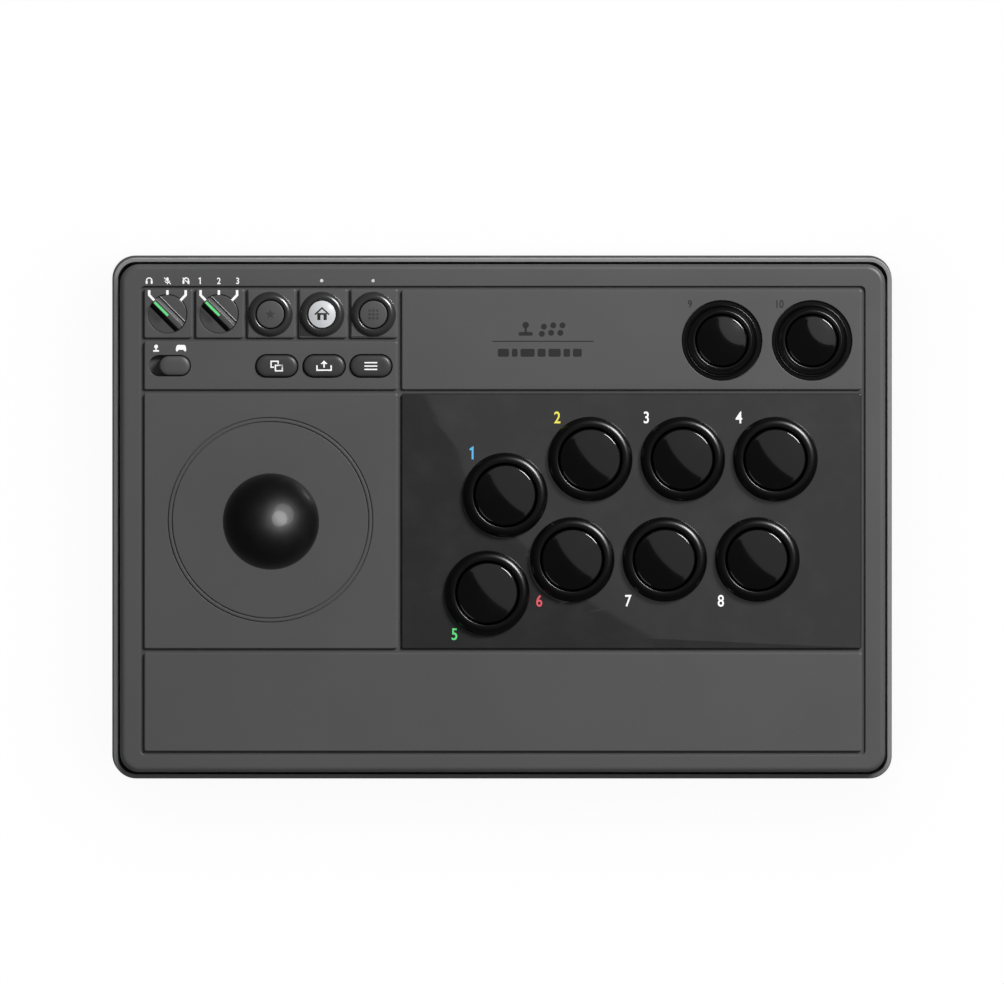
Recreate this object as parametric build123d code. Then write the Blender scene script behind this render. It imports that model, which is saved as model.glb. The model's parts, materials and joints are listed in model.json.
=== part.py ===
"""Arcade joystick panel: a desk-top case with an eight-way lever and ten push buttons.

Units are millimetres. X runs to the player's right, Y away from the player, Z up.
The origin is the centre of the rubber mat's underside.
"""
from build123d import *
import math
import os

# ---------------------------------------------------------------- driving dimensions
CASE_W = 303.0              # footprint, left to right
CASE_D = 203.0              # footprint, front to back
CASE_TOP = 52.0             # height of the top face
SHELL_BOTTOM = 2.0          # underside of the lower shell, above the mat's underside
SEAM_Z = 46.0               # top of the lower shell's lip
LEDGE_Z = 38.0              # where the upper shell stands on the lower shell
WALL_DRAFT = 0.2            # how far each lower wall leans in, foot to lip
LIP = 1.75                  # thickness of the lower shell's lip
SEAM_GAP = 0.85             # shadow gap between lip and upper shell
CASE_CORNER = 9.0
LID_CORNER = 7.4
WALL = 3.0
LEDGE = 1.2                 # how far the lower wall stands inside the upper shell's wall
FLOOR_TOP = 5.0
DECK = 3.4                  # thickness of the top face
DECK_UNDER = CASE_TOP - DECK
TOP_ROUND = 2.0

MAT_T = 2.5
BALLAST_T = 3.0
BALLAST = (-122.0, -83.0, 130.0, 46.0)  # outline: x0, y0, x1, y1
BATTERY = (24.0, -82.0, 94.0, -48.0)
BATTERY_H = 8.5

FIELD = (-141.0, -92.2, 141.0, 90.3)    # outline of the sunk field: x0, y0, x1, y1
GROOVE_DEPTH = 1.3
TILE_EDGE = 0.25
TILE_CORNER = 0.8
LEFT_X = -139.4             # left edge of the tiles
RIGHT_X = 139.4             # right edge of the tiles
SPLIT_LEFT = -41.0          # right edge of the left column
SPLIT_RIGHT = -39.3         # left edge of the right column
HEAD_Y = 50.0               # lower edge of the header tiles
MAIN_TOP_Y = 48.4
MAIN_LOW_Y = -50.7
PALM = (-90.6, -52.4)
SMALL_TILE = 18.7
SMALL_TILE_PITCH = 20.05
SMALL_TILE_Y = (70.1, 89.0)
SMALL_TILES = 5
FACEPLATE_T = 1.6

BUTTON_STEP = 36.0          # spacing of the right-hand three buttons in a row
TOP_ROW_Y = 23.0
LOW_ROW_Y = -16.0
BIG_BUTTONS = {             # play buttons, 30 mm kind
    "1": (1.0, 9.0),
    "2": (34.0, TOP_ROW_Y),
    "3": (34.0 + BUTTON_STEP, TOP_ROW_Y),
    "4": (34.0 + 2 * BUTTON_STEP, TOP_ROW_Y),
    "5": (-6.0, -29.0),
    "6": (27.0, LOW_ROW_Y),
    "7": (27.0 + BUTTON_STEP, LOW_ROW_Y),
    "8": (27.0 + 2 * BUTTON_STEP, LOW_ROW_Y),
}
SMALL_BUTTONS = {"9": (85.2, 69.1), "10": (120.2, 69.1)}    # 24 mm kind

BIG = dict(flange=16.5, barrel=14.85, bore=12.45, plunger=11.8, seat=CASE_TOP, rim_h=3.6)
SMALL = dict(flange=15.4, barrel=11.85, bore=10.35, plunger=9.85, seat=50.4, rim_h=3.9)
BIG_HOLE = 15.1
SMALL_HOLE = 12.1
SMALL_WELL = 15.7
SMALL_STEP = 1.4            # width of the small rims' low outer step
BARREL_DEPTH = 18.0
PLUNGER_FOOT = 42.0         # lower end of a plunger at rest

KNOBS = {"audio": (-130.4, 79.4), "stick_mode": (-110.4, 79.4)}
KNOB_R = 7.4
KNOB_BAR = 6.4
KNOB_BAR_TOP = 2.45
KNOB_TOP = 56.0
ROUND_CAPS = {"star": (-90.4, 79.3), "home": (-70.3, 79.3), "grid": (-50.3, 79.3)}
ROUND_CAP_R = 5.3
COLLAR_FOOT_R = 8.6
COLLAR_TOP_R = 6.7
COLLAR_BORE_R = 5.75
COLLAR_H = 1.7
PILLS = {"view": (-87.9, 59.2), "share": (-69.5, 59.2), "menu": (-51.3, 59.2)}
PILL = (16.0, 8.3)
PILL_GAP = 0.45
SLIDER_SLOT = (16.4, 8.3)
SLIDER_SLOT_AT = (-129.5, 59.3)
SLIDER_KNOB = (12.0, 7.5)
SLIDER_END_GAP = 0.35       # between the slider and the right-hand end of its slot
CAP_H = 1.5                 # how far the small caps stand above the top face
FLANGE_Z = (47.3, 48.3)     # retaining flanges under the top face
CAP_FOOT = 44.6
LIGHT_PIPES = ((-70.4, 92.4), (-50.4, 92.4))
LIGHT_R = 0.65

BOARD_T = 1.6
CONTROL_BOARD = (-138.5, 50.5, -41.5, 95.0)
CONTROL_BOARD_Z = 40.0
KEYPAD = (-98.5, 52.5, -43.0, 87.5)
MAIN_BOARD_Z = 26.8
MAIN_BOARD = (-26.0, 56.0, 58.0, 94.0)
USB_Z = 30.0
USB_RECESS = (12.6, 7.0)
REAR_LIGHT_X = 18.8
JACK_AT = (62.0, 24.0)      # y, z of the headset socket in the left wall
JACK_R = 1.8

STICK = (-90.4, -0.7)
PIVOT_Z = 34.0
BALL_R = 18.75
BALL_Z = 92.0
SHAFT_R = 4.0
COVER_R = 5.4
SHAFT_FOOT = 9.2
PIVOT_R = 7.5
RING_IN = 7.8
RING_OUT = 9.8
SOCKET_R = 10.1
PLATE_T = 1.6
HOUSING = 62.0              # lever housing, left to right
HOUSING_HALF_D = 26.5       # lever housing, centre to front
LEVER_PLATE_HALF_W = 47.5
POST = 8.0
STICK_CIRCLE_R = 40.0
WASHER_R = 18.0

SCREW_R = 1.45
HEAD_R = 3.0
CASE_SCREWS = (
    (-139.0, -89.0), (0.0, -89.0), (139.0, -89.0), (-139.0, 38.0),
    (139.0, 38.0), (-34.0, 89.0), (66.0, 89.0), (139.0, 89.0),
)
BOSS_R = 4.5
CASE_SCREW_HEAD_Z = 31.0    # where the case screws' heads bear

# ---------------------------------------------------------------- small helpers


def disc(x, y, z0, z1, r):
    """A plain round solid between two heights."""
    return Pos(x, y, (z0 + z1) / 2) * Cylinder(r, z1 - z0)


def tube(x, y, z0, z1, r_out, r_in):
    """A round solid with a bore right through."""
    return disc(x, y, z0, z1, r_out) - disc(x, y, z0 - 1, z1 + 1, r_in)


def block(x0, y0, z0, x1, y1, z1):
    """A square-cornered block between two corners."""
    middle = ((x0 + x1) / 2, (y0 + y1) / 2, (z0 + z1) / 2)
    return Pos(*middle) * Box(x1 - x0, y1 - y0, z1 - z0)


def slab(x0, y0, x1, y1, z0, z1, corner):
    """A block with its four upright edges rounded."""
    outline = Pos((x0 + x1) / 2, (y0 + y1) / 2, z0) * RectangleRounded(x1 - x0, y1 - y0, corner)
    return extrude(outline, z1 - z0)


def stadium(x, y, length, width, z0, z1):
    """A pill-shaped block, its length along X."""
    return extrude(Pos(x, y, z0) * SlotOverall(length, width), z1 - z0)


def top_edges(solid):
    """The edges round a solid's highest face."""
    return solid.faces().sort_by(Axis.Z)[-1].edges()


def turned(points_and_arcs, x, y):
    """A solid of revolution about the upright axis at x, y, from edges drawn in XZ."""
    face = make_face(points_and_arcs)
    return Pos(x, y, 0) * revolve(face, Axis.Z)


def at(r, z):
    """A point of a profile: radius and height."""
    return (r, 0, z)


def cable(points, r):
    """A round lead along straight runs joined by arcs as large as the runs allow."""
    route = [Vector(*p) for p in points]
    radii = []
    for before, here, after in zip(route, route[1:], route[2:]):
        turn = math.radians((here - before).get_angle(after - here))
        shorter = min((here - before).length, (after - here).length)
        radii.append(0.45 * shorter / math.tan(turn / 2))
    print("cable bend radii:", [round(radius, 1) for radius in radii])
    path = FilletPolyline(*route, radius=radii)
    start = Plane(origin=path @ 0, z_dir=path % 0)
    return sweep(start * Circle(r), path)


def save(name, shape):
    """Write one named piece, as separate solids where it is a group."""
    solids = shape.solids()
    export_step(solids[0] if len(solids) == 1 else Compound(children=solids), f"parts/{name}.step")


def group(pieces):
    """Identical loose pieces that share one name."""
    return Compound(children=[solid for piece in pieces for solid in piece.solids()])


# ---------------------------------------------------------------- case


def lower_shell():
    """The tray: leaning walls, a thin lip round the seam, bosses and board posts."""
    height = SEAM_Z - SHELL_BOTTOM
    lean = math.degrees(math.atan(WALL_DRAFT / height))
    foot = Pos(0, 0, SHELL_BOTTOM) * RectangleRounded(CASE_W, CASE_D, CASE_CORNER)
    shell = extrude(foot, height, taper=lean)
    shell = fillet(shell.faces().sort_by(Axis.Z)[0].edges(), 2.0)
    shell = chamfer(top_edges(shell), 0.3)
    lip_w = CASE_W - 2 * WALL_DRAFT
    lip_d = CASE_D - 2 * WALL_DRAFT

    inner_w = upper_w() - 2 * (WALL - LEDGE)
    inner_d = upper_d() - 2 * (WALL - LEDGE)
    shell -= slab(-inner_w / 2, -inner_d / 2, inner_w / 2, inner_d / 2, FLOOR_TOP, SEAM_Z, 4.0)
    half_w = lip_w / 2 - LIP
    half_d = lip_d / 2 - LIP
    shell -= slab(-half_w, -half_d, half_w, half_d, LEDGE_Z, SEAM_Z + 1, CASE_CORNER - 2)

    mat_w, mat_d = mat_size()
    shell -= slab(-mat_w / 2, -mat_d / 2, mat_w / 2, mat_d / 2, 0, MAT_T, 6.0)
    for x, y in CASE_SCREWS:
        shell += disc(x, y, FLOOR_TOP - 1, LEDGE_Z, BOSS_R)
    for x, y in CASE_SCREWS:
        shell -= disc(x, y, 0, CASE_SCREW_HEAD_Z, HEAD_R + 0.2)
        shell -= disc(x, y, 0, LEDGE_Z + 1, SCREW_R + 0.1)
    for x, y in board_post_places():
        shell += disc(x, y, FLOOR_TOP - 1, MAIN_BOARD_Z, 3.0)
        shell -= disc(x, y, MAIN_BOARD_Z - 8, MAIN_BOARD_Z + 1, SCREW_R + 0.05)

    recess = Pos(0, CASE_D / 2, USB_Z) * Rot(90, 0, 0) * SlotOverall(*USB_RECESS)
    shell -= extrude(recess, 12, both=True)
    rear = Pos(REAR_LIGHT_X, CASE_D / 2, USB_Z) * Rot(90, 0, 0)
    shell -= rear * Cylinder(LIGHT_R + 0.05, 16)
    jack_y, jack_z = JACK_AT
    left = Pos(-CASE_W / 2, jack_y, jack_z) * Rot(0, 90, 0)
    shell -= left * Cylinder(3.4, 16)
    return shell


def mat_size():
    """Length and width of the rubber mat."""
    return CASE_W - 16, CASE_D - 16


def upper_w():
    """Width of the upper shell, inside the lip and the shadow gap."""
    return CASE_W - 2 * (WALL_DRAFT + LIP + SEAM_GAP)


def upper_d():
    """Depth of the upper shell."""
    return CASE_D - 2 * (WALL_DRAFT + LIP + SEAM_GAP)


def board_post_places():
    """Centres of the posts that the main board is screwed to."""
    x0, y0, x1, y1 = MAIN_BOARD
    inset = 4.5
    return [(x, y) for x in (x0 + inset, x1 - inset) for y in (y0 + inset, y1 - inset)]


def tile(x0, y0, x1, y1):
    """One raised tile of the top face, its upper edge eased."""
    raised = slab(x0, y0, x1, y1, CASE_TOP - GROOVE_DEPTH - 0.5, CASE_TOP, TILE_CORNER)
    return chamfer(top_edges(raised), TILE_EDGE)


def tiles():
    """The tiles that are moulded in one with the upper shell."""
    out = []
    for i in range(SMALL_TILES):
        x0 = LEFT_X + i * SMALL_TILE_PITCH
        x1 = SPLIT_LEFT if i == SMALL_TILES - 1 else x0 + SMALL_TILE
        out.append(tile(x0, SMALL_TILE_Y[0], x1, SMALL_TILE_Y[1]))
    out.append(tile(LEFT_X, HEAD_Y, SPLIT_LEFT, SMALL_TILE_Y[0] - 1.5))
    out.append(tile(LEFT_X, MAIN_LOW_Y, SPLIT_LEFT, MAIN_TOP_Y))
    out.append(tile(SPLIT_RIGHT, HEAD_Y, RIGHT_X, SMALL_TILE_Y[1] - 0.3))
    out.append(tile(LEFT_X, PALM[0], RIGHT_X, PALM[1]))
    return out


def collar(x, y):
    """The convex ring moulded round a small round key."""
    top = CASE_TOP + COLLAR_H
    profile = [
        Line(at(COLLAR_BORE_R, CASE_TOP - 1), at(COLLAR_BORE_R, top - 0.3)),
        Line(at(COLLAR_BORE_R, top - 0.3), at(COLLAR_BORE_R + 0.3, top)),
        Line(at(COLLAR_BORE_R + 0.3, top), at(COLLAR_TOP_R, top)),
        ThreePointArc(
            at(COLLAR_TOP_R, top),
            at(COLLAR_TOP_R + 1.25, CASE_TOP + 1.15),
            at(COLLAR_FOOT_R, CASE_TOP - 0.05),
        ),
        Line(at(COLLAR_FOOT_R, CASE_TOP - 0.05), at(COLLAR_FOOT_R, CASE_TOP - 1)),
        Line(at(COLLAR_FOOT_R, CASE_TOP - 1), at(COLLAR_BORE_R, CASE_TOP - 1)),
    ]
    return turned(profile, x, y)


def upper_shell():
    """The lid: rounded frame, sunk field with raised tiles, wells, holes and bosses."""
    half_w = upper_w() / 2
    half_d = upper_d() / 2
    shell = slab(-half_w, -half_d, half_w, half_d, LEDGE_Z, CASE_TOP, LID_CORNER)
    shell = fillet(top_edges(shell), TOP_ROUND)
    inner_w = half_w - WALL
    inner_d = half_d - WALL
    inner_corner = LID_CORNER - WALL
    shell -= slab(-inner_w, -inner_d, inner_w, inner_d, LEDGE_Z - 1, DECK_UNDER, inner_corner)
    shell -= slab(*FIELD, CASE_TOP - GROOVE_DEPTH, CASE_TOP + 1, 2.0)
    for raised in tiles():
        shell += raised
    shell -= slab(
        SPLIT_RIGHT, MAIN_LOW_Y, RIGHT_X, MAIN_TOP_Y, CASE_TOP - FACEPLATE_T, CASE_TOP, TILE_CORNER
    )

    for x, y in BIG_BUTTONS.values():
        shell -= disc(x, y, DECK_UNDER - 1, CASE_TOP + 1, BIG_HOLE)
    for x, y in SMALL_BUTTONS.values():
        shell -= disc(x, y, SMALL["seat"], CASE_TOP + 1, SMALL_WELL)
        shell -= disc(x, y, DECK_UNDER - 1, CASE_TOP + 1, SMALL_HOLE)
    for x, y in ROUND_CAPS.values():
        shell += collar(x, y)
        shell -= disc(x, y, DECK_UNDER - 1, CASE_TOP + 1, COLLAR_BORE_R)
    for x, y in PILLS.values():
        length, width = PILL[0] + 2 * PILL_GAP, PILL[1] + 2 * PILL_GAP
        shell -= stadium(x, y, length, width, DECK_UNDER - 1, CASE_TOP + 1)
    shell -= stadium(*SLIDER_SLOT_AT, *SLIDER_SLOT, DECK_UNDER - 1, CASE_TOP + 1)
    for x, y in KNOBS.values():
        shell -= disc(x, y, DECK_UNDER - 1, CASE_TOP + 1, KNOB_R + 0.3)
    for x, y in LIGHT_PIPES:
        shell -= disc(x, y, DECK_UNDER - 1, CASE_TOP + 1, LIGHT_R + 0.05)

    x, y = STICK
    shell -= disc(x, y, DECK_UNDER - 1, CASE_TOP + 1, 11.0)
    shell -= disc(x, y, DECK_UNDER - 1, DECK_UNDER + 1.2, 22.0)
    for outer in (STICK_CIRCLE_R, STICK_CIRCLE_R - 1.55):
        shell -= tube(x, y, CASE_TOP - 0.6, CASE_TOP + 1, outer, outer - 0.45)
    for px, py in plate_screw_places():
        shell -= disc(px, py, DECK_UNDER - 1, CASE_TOP - 1.2, SCREW_R + 0.05)

    for px, py in control_post_places():
        shell += disc(px, py, CONTROL_BOARD_Z + BOARD_T, DECK_UNDER + 1, 2.6)
        shell -= disc(px, py, CONTROL_BOARD_Z, DECK_UNDER, SCREW_R + 0.05)
    for px, py in CASE_SCREWS:
        shell += disc(px, py, LEDGE_Z, DECK_UNDER + 1, BOSS_R)
        shell -= disc(px, py, LEDGE_Z - 1, DECK_UNDER, SCREW_R + 0.05)
    return shell


def plate_screw_places():
    """Centres of the four screws that hold the lever's steel plate."""
    x, y = STICK
    return [(x + dx, y + dy) for dx in (-42, 42) for dy in (-20, 20)]


def control_post_places():
    """Centres of the posts that the control board is screwed to."""
    return [(x, y) for x in (-120.4, -60.4) for y in (69.3, 92.6)]


def button_faceplate():
    """The dark glossy plate that the play buttons stand in."""
    plate = slab(
        SPLIT_RIGHT + 0.02, MAIN_LOW_Y + 0.02, RIGHT_X - 0.02, MAIN_TOP_Y - 0.02,
        CASE_TOP - FACEPLATE_T, CASE_TOP, TILE_CORNER,
    )
    plate = chamfer(top_edges(plate), TILE_EDGE)
    for x, y in BIG_BUTTONS.values():
        plate -= disc(x, y, DECK_UNDER, CASE_TOP + 1, BIG_HOLE)
    return plate


def base_mat():
    """The rubber mat that fills the underside."""
    mat_w, mat_d = mat_size()
    mat = slab(-mat_w / 2, -mat_d / 2, mat_w / 2, mat_d / 2, 0, MAT_T, 6.0)
    mat = chamfer(mat.faces().sort_by(Axis.Z)[0].edges(), 0.6)
    return mat


def ballast_plate():
    """The steel plate on the case floor that keeps the panel still in play."""
    plate = slab(*BALLAST, FLOOR_TOP, FLOOR_TOP + BALLAST_T, 5.0)
    for x in (-60, 4, 68):
        plate -= slab(x - 18, 30, x + 18, 40, FLOOR_TOP - 1, FLOOR_TOP + BALLAST_T + 1, 3.0)
    return plate


def case_screws():
    """The eight screws that pull the two shells together."""
    screws = []
    for x, y in CASE_SCREWS:
        head = disc(x, y, CASE_SCREW_HEAD_Z - 2.2, CASE_SCREW_HEAD_Z, HEAD_R)
        screw = head + disc(x, y, CASE_SCREW_HEAD_Z, CASE_SCREW_HEAD_Z + 14, SCREW_R)
        screw -= Pos(x, y, CASE_SCREW_HEAD_Z - 2) * Box(3.6, 0.8, 1.8)
        screw -= Pos(x, y, CASE_SCREW_HEAD_Z - 2) * Box(0.8, 3.6, 1.8)
        screws.append(screw)
    return group(screws)


def machine_screw(x, y, bearing_z, points_up):
    """A short pan-head screw whose head bears at the given height."""
    way = 1 if points_up else -1
    low, high = sorted((bearing_z, bearing_z - way * 2.0))
    head = disc(x, y, low, high, 2.6)
    low, high = sorted((bearing_z, bearing_z + way * 3.6))
    return head + disc(x, y, low, high, SCREW_R)


def machine_screws():
    """The twelve short screws under the lever's plate and on the two boards."""
    plate = DECK_UNDER - PLATE_T
    screws = [machine_screw(x, y, plate, True) for x, y in plate_screw_places()]
    screws += [machine_screw(x, y, CONTROL_BOARD_Z, True) for x, y in control_post_places()]
    above = MAIN_BOARD_Z + BOARD_T
    screws += [machine_screw(x, y, above, False) for x, y in board_post_places()]
    return group(screws)


# ---------------------------------------------------------------- push buttons


def button_body(x, y, kind):
    """A push button's fixed part: convex rim, smooth barrel and two snap tabs."""
    seat = kind["seat"]
    bore = kind["bore"]
    flange = kind["flange"]
    top = seat + kind["rim_h"]
    rim_out = flange - (SMALL_STEP if kind is SMALL else 0.0)
    shoulder = seat + (1.2 if kind is SMALL else 0.5)
    foot = CASE_TOP - BARREL_DEPTH
    profile = [
        Line(at(bore, foot), at(bore, top - 0.35)),
        Line(at(bore, top - 0.35), at(bore + 0.35, top)),
        Line(at(bore + 0.35, top), at(bore + 0.8, top)),
        ThreePointArc(
            at(bore + 0.8, top),
            at(rim_out - 0.85, top - 0.95),
            at(rim_out, shoulder + 0.2),
        ),
    ]
    if kind is SMALL:
        profile += [
            Line(at(rim_out, shoulder + 0.2), at(rim_out, shoulder)),
            Line(at(rim_out, shoulder), at(flange - 0.25, shoulder)),
            Line(at(flange - 0.25, shoulder), at(flange, shoulder - 0.25)),
            Line(at(flange, shoulder - 0.25), at(flange, seat)),
        ]
    else:
        profile += [Line(at(rim_out, shoulder + 0.2), at(rim_out, seat))]
    profile += [
        Line(at(flange, seat), at(kind["barrel"], seat)),
        Line(at(kind["barrel"], seat), at(kind["barrel"], foot)),
        Line(at(kind["barrel"], foot), at(bore, foot)),
    ]
    body = turned(profile, x, y)
    reach = kind["barrel"] + 0.8
    tabs = block(x - 2.5, y - reach, DECK_UNDER - 2.6, x + 2.5, y + reach, DECK_UNDER - 0.2)
    body += tabs - disc(x, y, foot, CASE_TOP, (bore + kind["barrel"]) / 2)
    return body


def plunger(x, y, kind):
    """The moving cap of a push button: domed top, skirt and a post over the switch."""
    r = kind["plunger"]
    rim = kind["seat"] + kind["rim_h"]
    edge = rim + 0.6
    crown = rim + 1.7
    inside = edge - 2.4
    wall = 1.5
    profile = [
        Line(at(0, PLUNGER_FOOT), at(0, crown)),
        ThreePointArc(at(0, crown), at(r * 0.6, crown - 0.25), at(r - 0.9, edge + 0.35)),
        ThreePointArc(at(r - 0.9, edge + 0.35), at(r - 0.24, edge + 0.05), at(r, edge - 0.6)),
        Line(at(r, edge - 0.6), at(r, PLUNGER_FOOT)),
        Line(at(r, PLUNGER_FOOT), at(r - wall, PLUNGER_FOOT)),
        Line(at(r - wall, PLUNGER_FOOT), at(r - wall, inside)),
        Line(at(r - wall, inside), at(2.0, inside)),
        Line(at(2.0, inside), at(2.0, PLUNGER_FOOT)),
        Line(at(2.0, PLUNGER_FOOT), at(0, PLUNGER_FOOT)),
    ]
    return turned(profile, x, y)


def button_switch(x, y, kind):
    """The snap switch that closes the foot of a push button's barrel."""
    low = CASE_TOP - BARREL_DEPTH
    switch = disc(x, y, low - 1.0, low, kind["barrel"]) + disc(x, y, low, low + 4, kind["bore"] - 0.02)
    switch += block(x - 9.9, y - 3.2, low - 7, x + 9.9, y + 3.2, low - 1)
    for dx in (-5.0, 5.0):
        switch += block(x + dx - 0.4, y - 2.4, low - 12, x + dx + 0.4, y + 2.4, low - 7)
    return switch


def button_switches():
    """All ten button switches."""
    kinds = [(place, BIG) for place in BIG_BUTTONS.values()]
    kinds += [(place, SMALL) for place in SMALL_BUTTONS.values()]
    return group([button_switch(x, y, kind) for (x, y), kind in kinds])


# ---------------------------------------------------------------- small controls


def selector_knob(x, y):
    """A flush disc with a tapered grip bar and a retaining flange below the top face."""
    knob = disc(x, y, FLANGE_Z[0], CASE_TOP + 0.1, KNOB_R)
    knob += disc(x, y, *FLANGE_Z, KNOB_R + 1.2)
    knob += disc(x, y, FLANGE_Z[0] - 1.8, FLANGE_Z[0], 3.0)
    half = KNOB_BAR / 2
    half_top = KNOB_BAR_TOP / 2
    foot = CASE_TOP - 0.5
    section = [
        Line(at(-half, foot), at(-half, CASE_TOP + 0.1)),
        Line(at(-half, CASE_TOP + 0.1), at(-half_top, KNOB_TOP)),
        Line(at(-half_top, KNOB_TOP), at(half_top, KNOB_TOP)),
        Line(at(half_top, KNOB_TOP), at(half, CASE_TOP + 0.1)),
        Line(at(half, CASE_TOP + 0.1), at(half, foot)),
        Line(at(half, foot), at(-half, foot)),
    ]
    bar = extrude(make_face(section), KNOB_R + 1, both=True)
    bar = bar & disc(0, 0, foot - 1, KNOB_TOP + 1, KNOB_R)
    return knob + Pos(x, y, 0) * Rot(0, 0, 45) * bar


def round_cap(x, y, crown):
    """A small round key: cap, retaining flange and stem."""
    top = CASE_TOP + CAP_H
    profile = [
        Line(at(0, FLANGE_Z[0]), at(0, top + crown)),
        ThreePointArc(
            at(0, top + crown),
            at(ROUND_CAP_R * 0.55, top + crown * 0.7),
            at(ROUND_CAP_R - 0.3, top),
        ),
        Line(at(ROUND_CAP_R - 0.3, top), at(ROUND_CAP_R, top - 0.3)),
        Line(at(ROUND_CAP_R, top - 0.3), at(ROUND_CAP_R, FLANGE_Z[0])),
        Line(at(ROUND_CAP_R, FLANGE_Z[0]), at(0, FLANGE_Z[0])),
    ]
    cap = turned(profile, x, y)
    cap += disc(x, y, *FLANGE_Z, COLLAR_BORE_R + 0.8)
    return cap + disc(x, y, CAP_FOOT, FLANGE_Z[0], 2.5)


def pill_cap(x, y):
    """A small pill-shaped key with a well rounded top edge."""
    cap = stadium(x, y, *PILL, FLANGE_Z[0], CASE_TOP + CAP_H)
    cap = fillet(top_edges(cap), 1.3)
    cap += stadium(x, y, PILL[0] + 1.6, PILL[1] + 1.6, *FLANGE_Z)
    return cap + disc(x, y, CAP_FOOT, FLANGE_Z[0], 2.5)


def mode_slider():
    """The two-position slider, at the right-hand end of its slot."""
    x, y = SLIDER_SLOT_AT
    x += (SLIDER_SLOT[0] - SLIDER_KNOB[0]) / 2 - SLIDER_END_GAP
    knob = stadium(x, y, *SLIDER_KNOB, FLANGE_Z[0], CASE_TOP + CAP_H - 0.2)
    knob = fillet(top_edges(knob), 1.3)
    return knob + slab(x - 11.5, y - 5.4, x + 11.5, y + 5.4, *FLANGE_Z, 2.0)


def control_board():
    """The circuit board under the small controls."""
    z = CONTROL_BOARD_Z
    board = slab(*CONTROL_BOARD, z, z + BOARD_T, 2.0)
    for x, y in control_post_places():
        board -= disc(x, y, z - 1, z + BOARD_T + 1, SCREW_R + 0.15)
    return board


def keypad_membrane():
    """The silicone sheet with a dome under each key."""
    z = CONTROL_BOARD_Z + BOARD_T
    sheet = slab(*KEYPAD, z, z + 0.8, 2.0)
    for x, y in list(ROUND_CAPS.values()) + list(PILLS.values()):
        sheet += disc(x, y, z + 0.5, z + 1.6, 3.0)
    for x, y in control_post_places():
        sheet -= disc(x, y, z - 1, z + 2, 3.2)
    return sheet


def control_switches():
    """The two turn switches and the slide switch on the control board."""
    z = CONTROL_BOARD_Z + BOARD_T
    switches = []
    for x, y in KNOBS.values():
        body = block(x - 6, y - 6, z, x + 6, y + 6, z + 2.9)
        switches.append(chamfer(body.edges().filter_by(Axis.Z), 1.5))
    x, y = SLIDER_SLOT_AT
    switches.append(block(x - 6, y - 3.2, z, x + 6, y + 3.2, z + 4.6))
    return group(switches)


def light_pipes():
    """Two clear pins in the top face and one in the back wall."""
    low = CONTROL_BOARD_Z + BOARD_T + 1.0
    pins = [disc(x, y, low, CASE_TOP, LIGHT_R) for x, y in LIGHT_PIPES]
    rear = Pos(REAR_LIGHT_X, CASE_D / 2 - 4.4, USB_Z) * Rot(90, 0, 0) * Cylinder(LIGHT_R, 7.0)
    return group(pins + [rear])


# ---------------------------------------------------------------- main electronics


def main_board():
    """The main circuit board with its chips and lead sockets."""
    x0, y0, x1, y1 = MAIN_BOARD
    z = MAIN_BOARD_Z
    top = z + BOARD_T
    board = slab(x0, y0, x1, y1, z, top, 2.0)
    for x, y in board_post_places():
        board -= disc(x, y, z - 1, top + 1, SCREW_R + 0.15)
    board += block(8, 66, top, 18, 76, top + 1.2)
    board += block(30, 64, top, 37, 71, top + 1.0)
    board += block(-16, 58, top, -4, 64, top + 6.5)
    board += block(4, 58, top, 22, 62, top + 6.5)
    board += block(28, 58, top, 46, 62, top + 6.5)
    return board


def usb_socket():
    """The charging and data socket, its mouth facing the recess in the back wall."""
    top = MAIN_BOARD_Z + BOARD_T
    height = 2 * (USB_Z - top)
    mouth = CASE_D / 2 - 6.0
    shell = Pos(0, mouth, USB_Z) * Rot(90, 0, 0) * SlotOverall(8.94, height)
    body = extrude(shell, 9.0)
    hollow = Pos(0, mouth + 0.01, USB_Z) * Rot(90, 0, 0) * SlotOverall(8.34, height - 0.6)
    body -= extrude(hollow, 6.6)
    return body + block(-3.3, mouth - 8.5, USB_Z - 0.35, 3.3, mouth - 1.0, USB_Z + 0.35)


def audio_jack():
    """The headset socket in the left wall: a threadless sleeve on a square body."""
    y, z = JACK_AT
    outer = -CASE_W / 2 + 1.0
    inner = -CASE_W / 2 + 6.5
    nose = Pos((outer + inner) / 2, y, z) * Rot(0, 90, 0) * Cylinder(3.3, inner - outer)
    body = nose + block(inner - 0.5, y - 3.5, z - 3.0, inner + 11, y + 3.5, z + 3.5)
    hole = Pos((outer + inner) / 2 + 3, y, z) * Rot(0, 90, 0) * Cylinder(JACK_R, inner - outer + 12)
    return body - hole


def battery_pack():
    """The rechargeable pack that lies on the ballast plate."""
    z = FLOOR_TOP + BALLAST_T
    pack = slab(*BATTERY, z, z + BATTERY_H, 3.0)
    return fillet(pack.faces().sort_by(Axis.Z)[-1].edges(), 1.5)


# ---------------------------------------------------------------- lever


def mounting_plate():
    """The flat steel plate that the lever hangs from."""
    x, y = STICK
    half_w, half_d = LEVER_PLATE_HALF_W, HOUSING_HALF_D
    plate = slab(
        x - half_w, y - half_d, x + half_w, y + half_d, DECK_UNDER - PLATE_T, DECK_UNDER, 3.0
    )
    plate -= disc(x, y, DECK_UNDER - 5, DECK_UNDER + 1, 10.0)
    for px, py in plate_screw_places():
        plate -= disc(px, py, DECK_UNDER - 5, DECK_UNDER + 1, SCREW_R + 0.15)
    return plate


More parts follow.
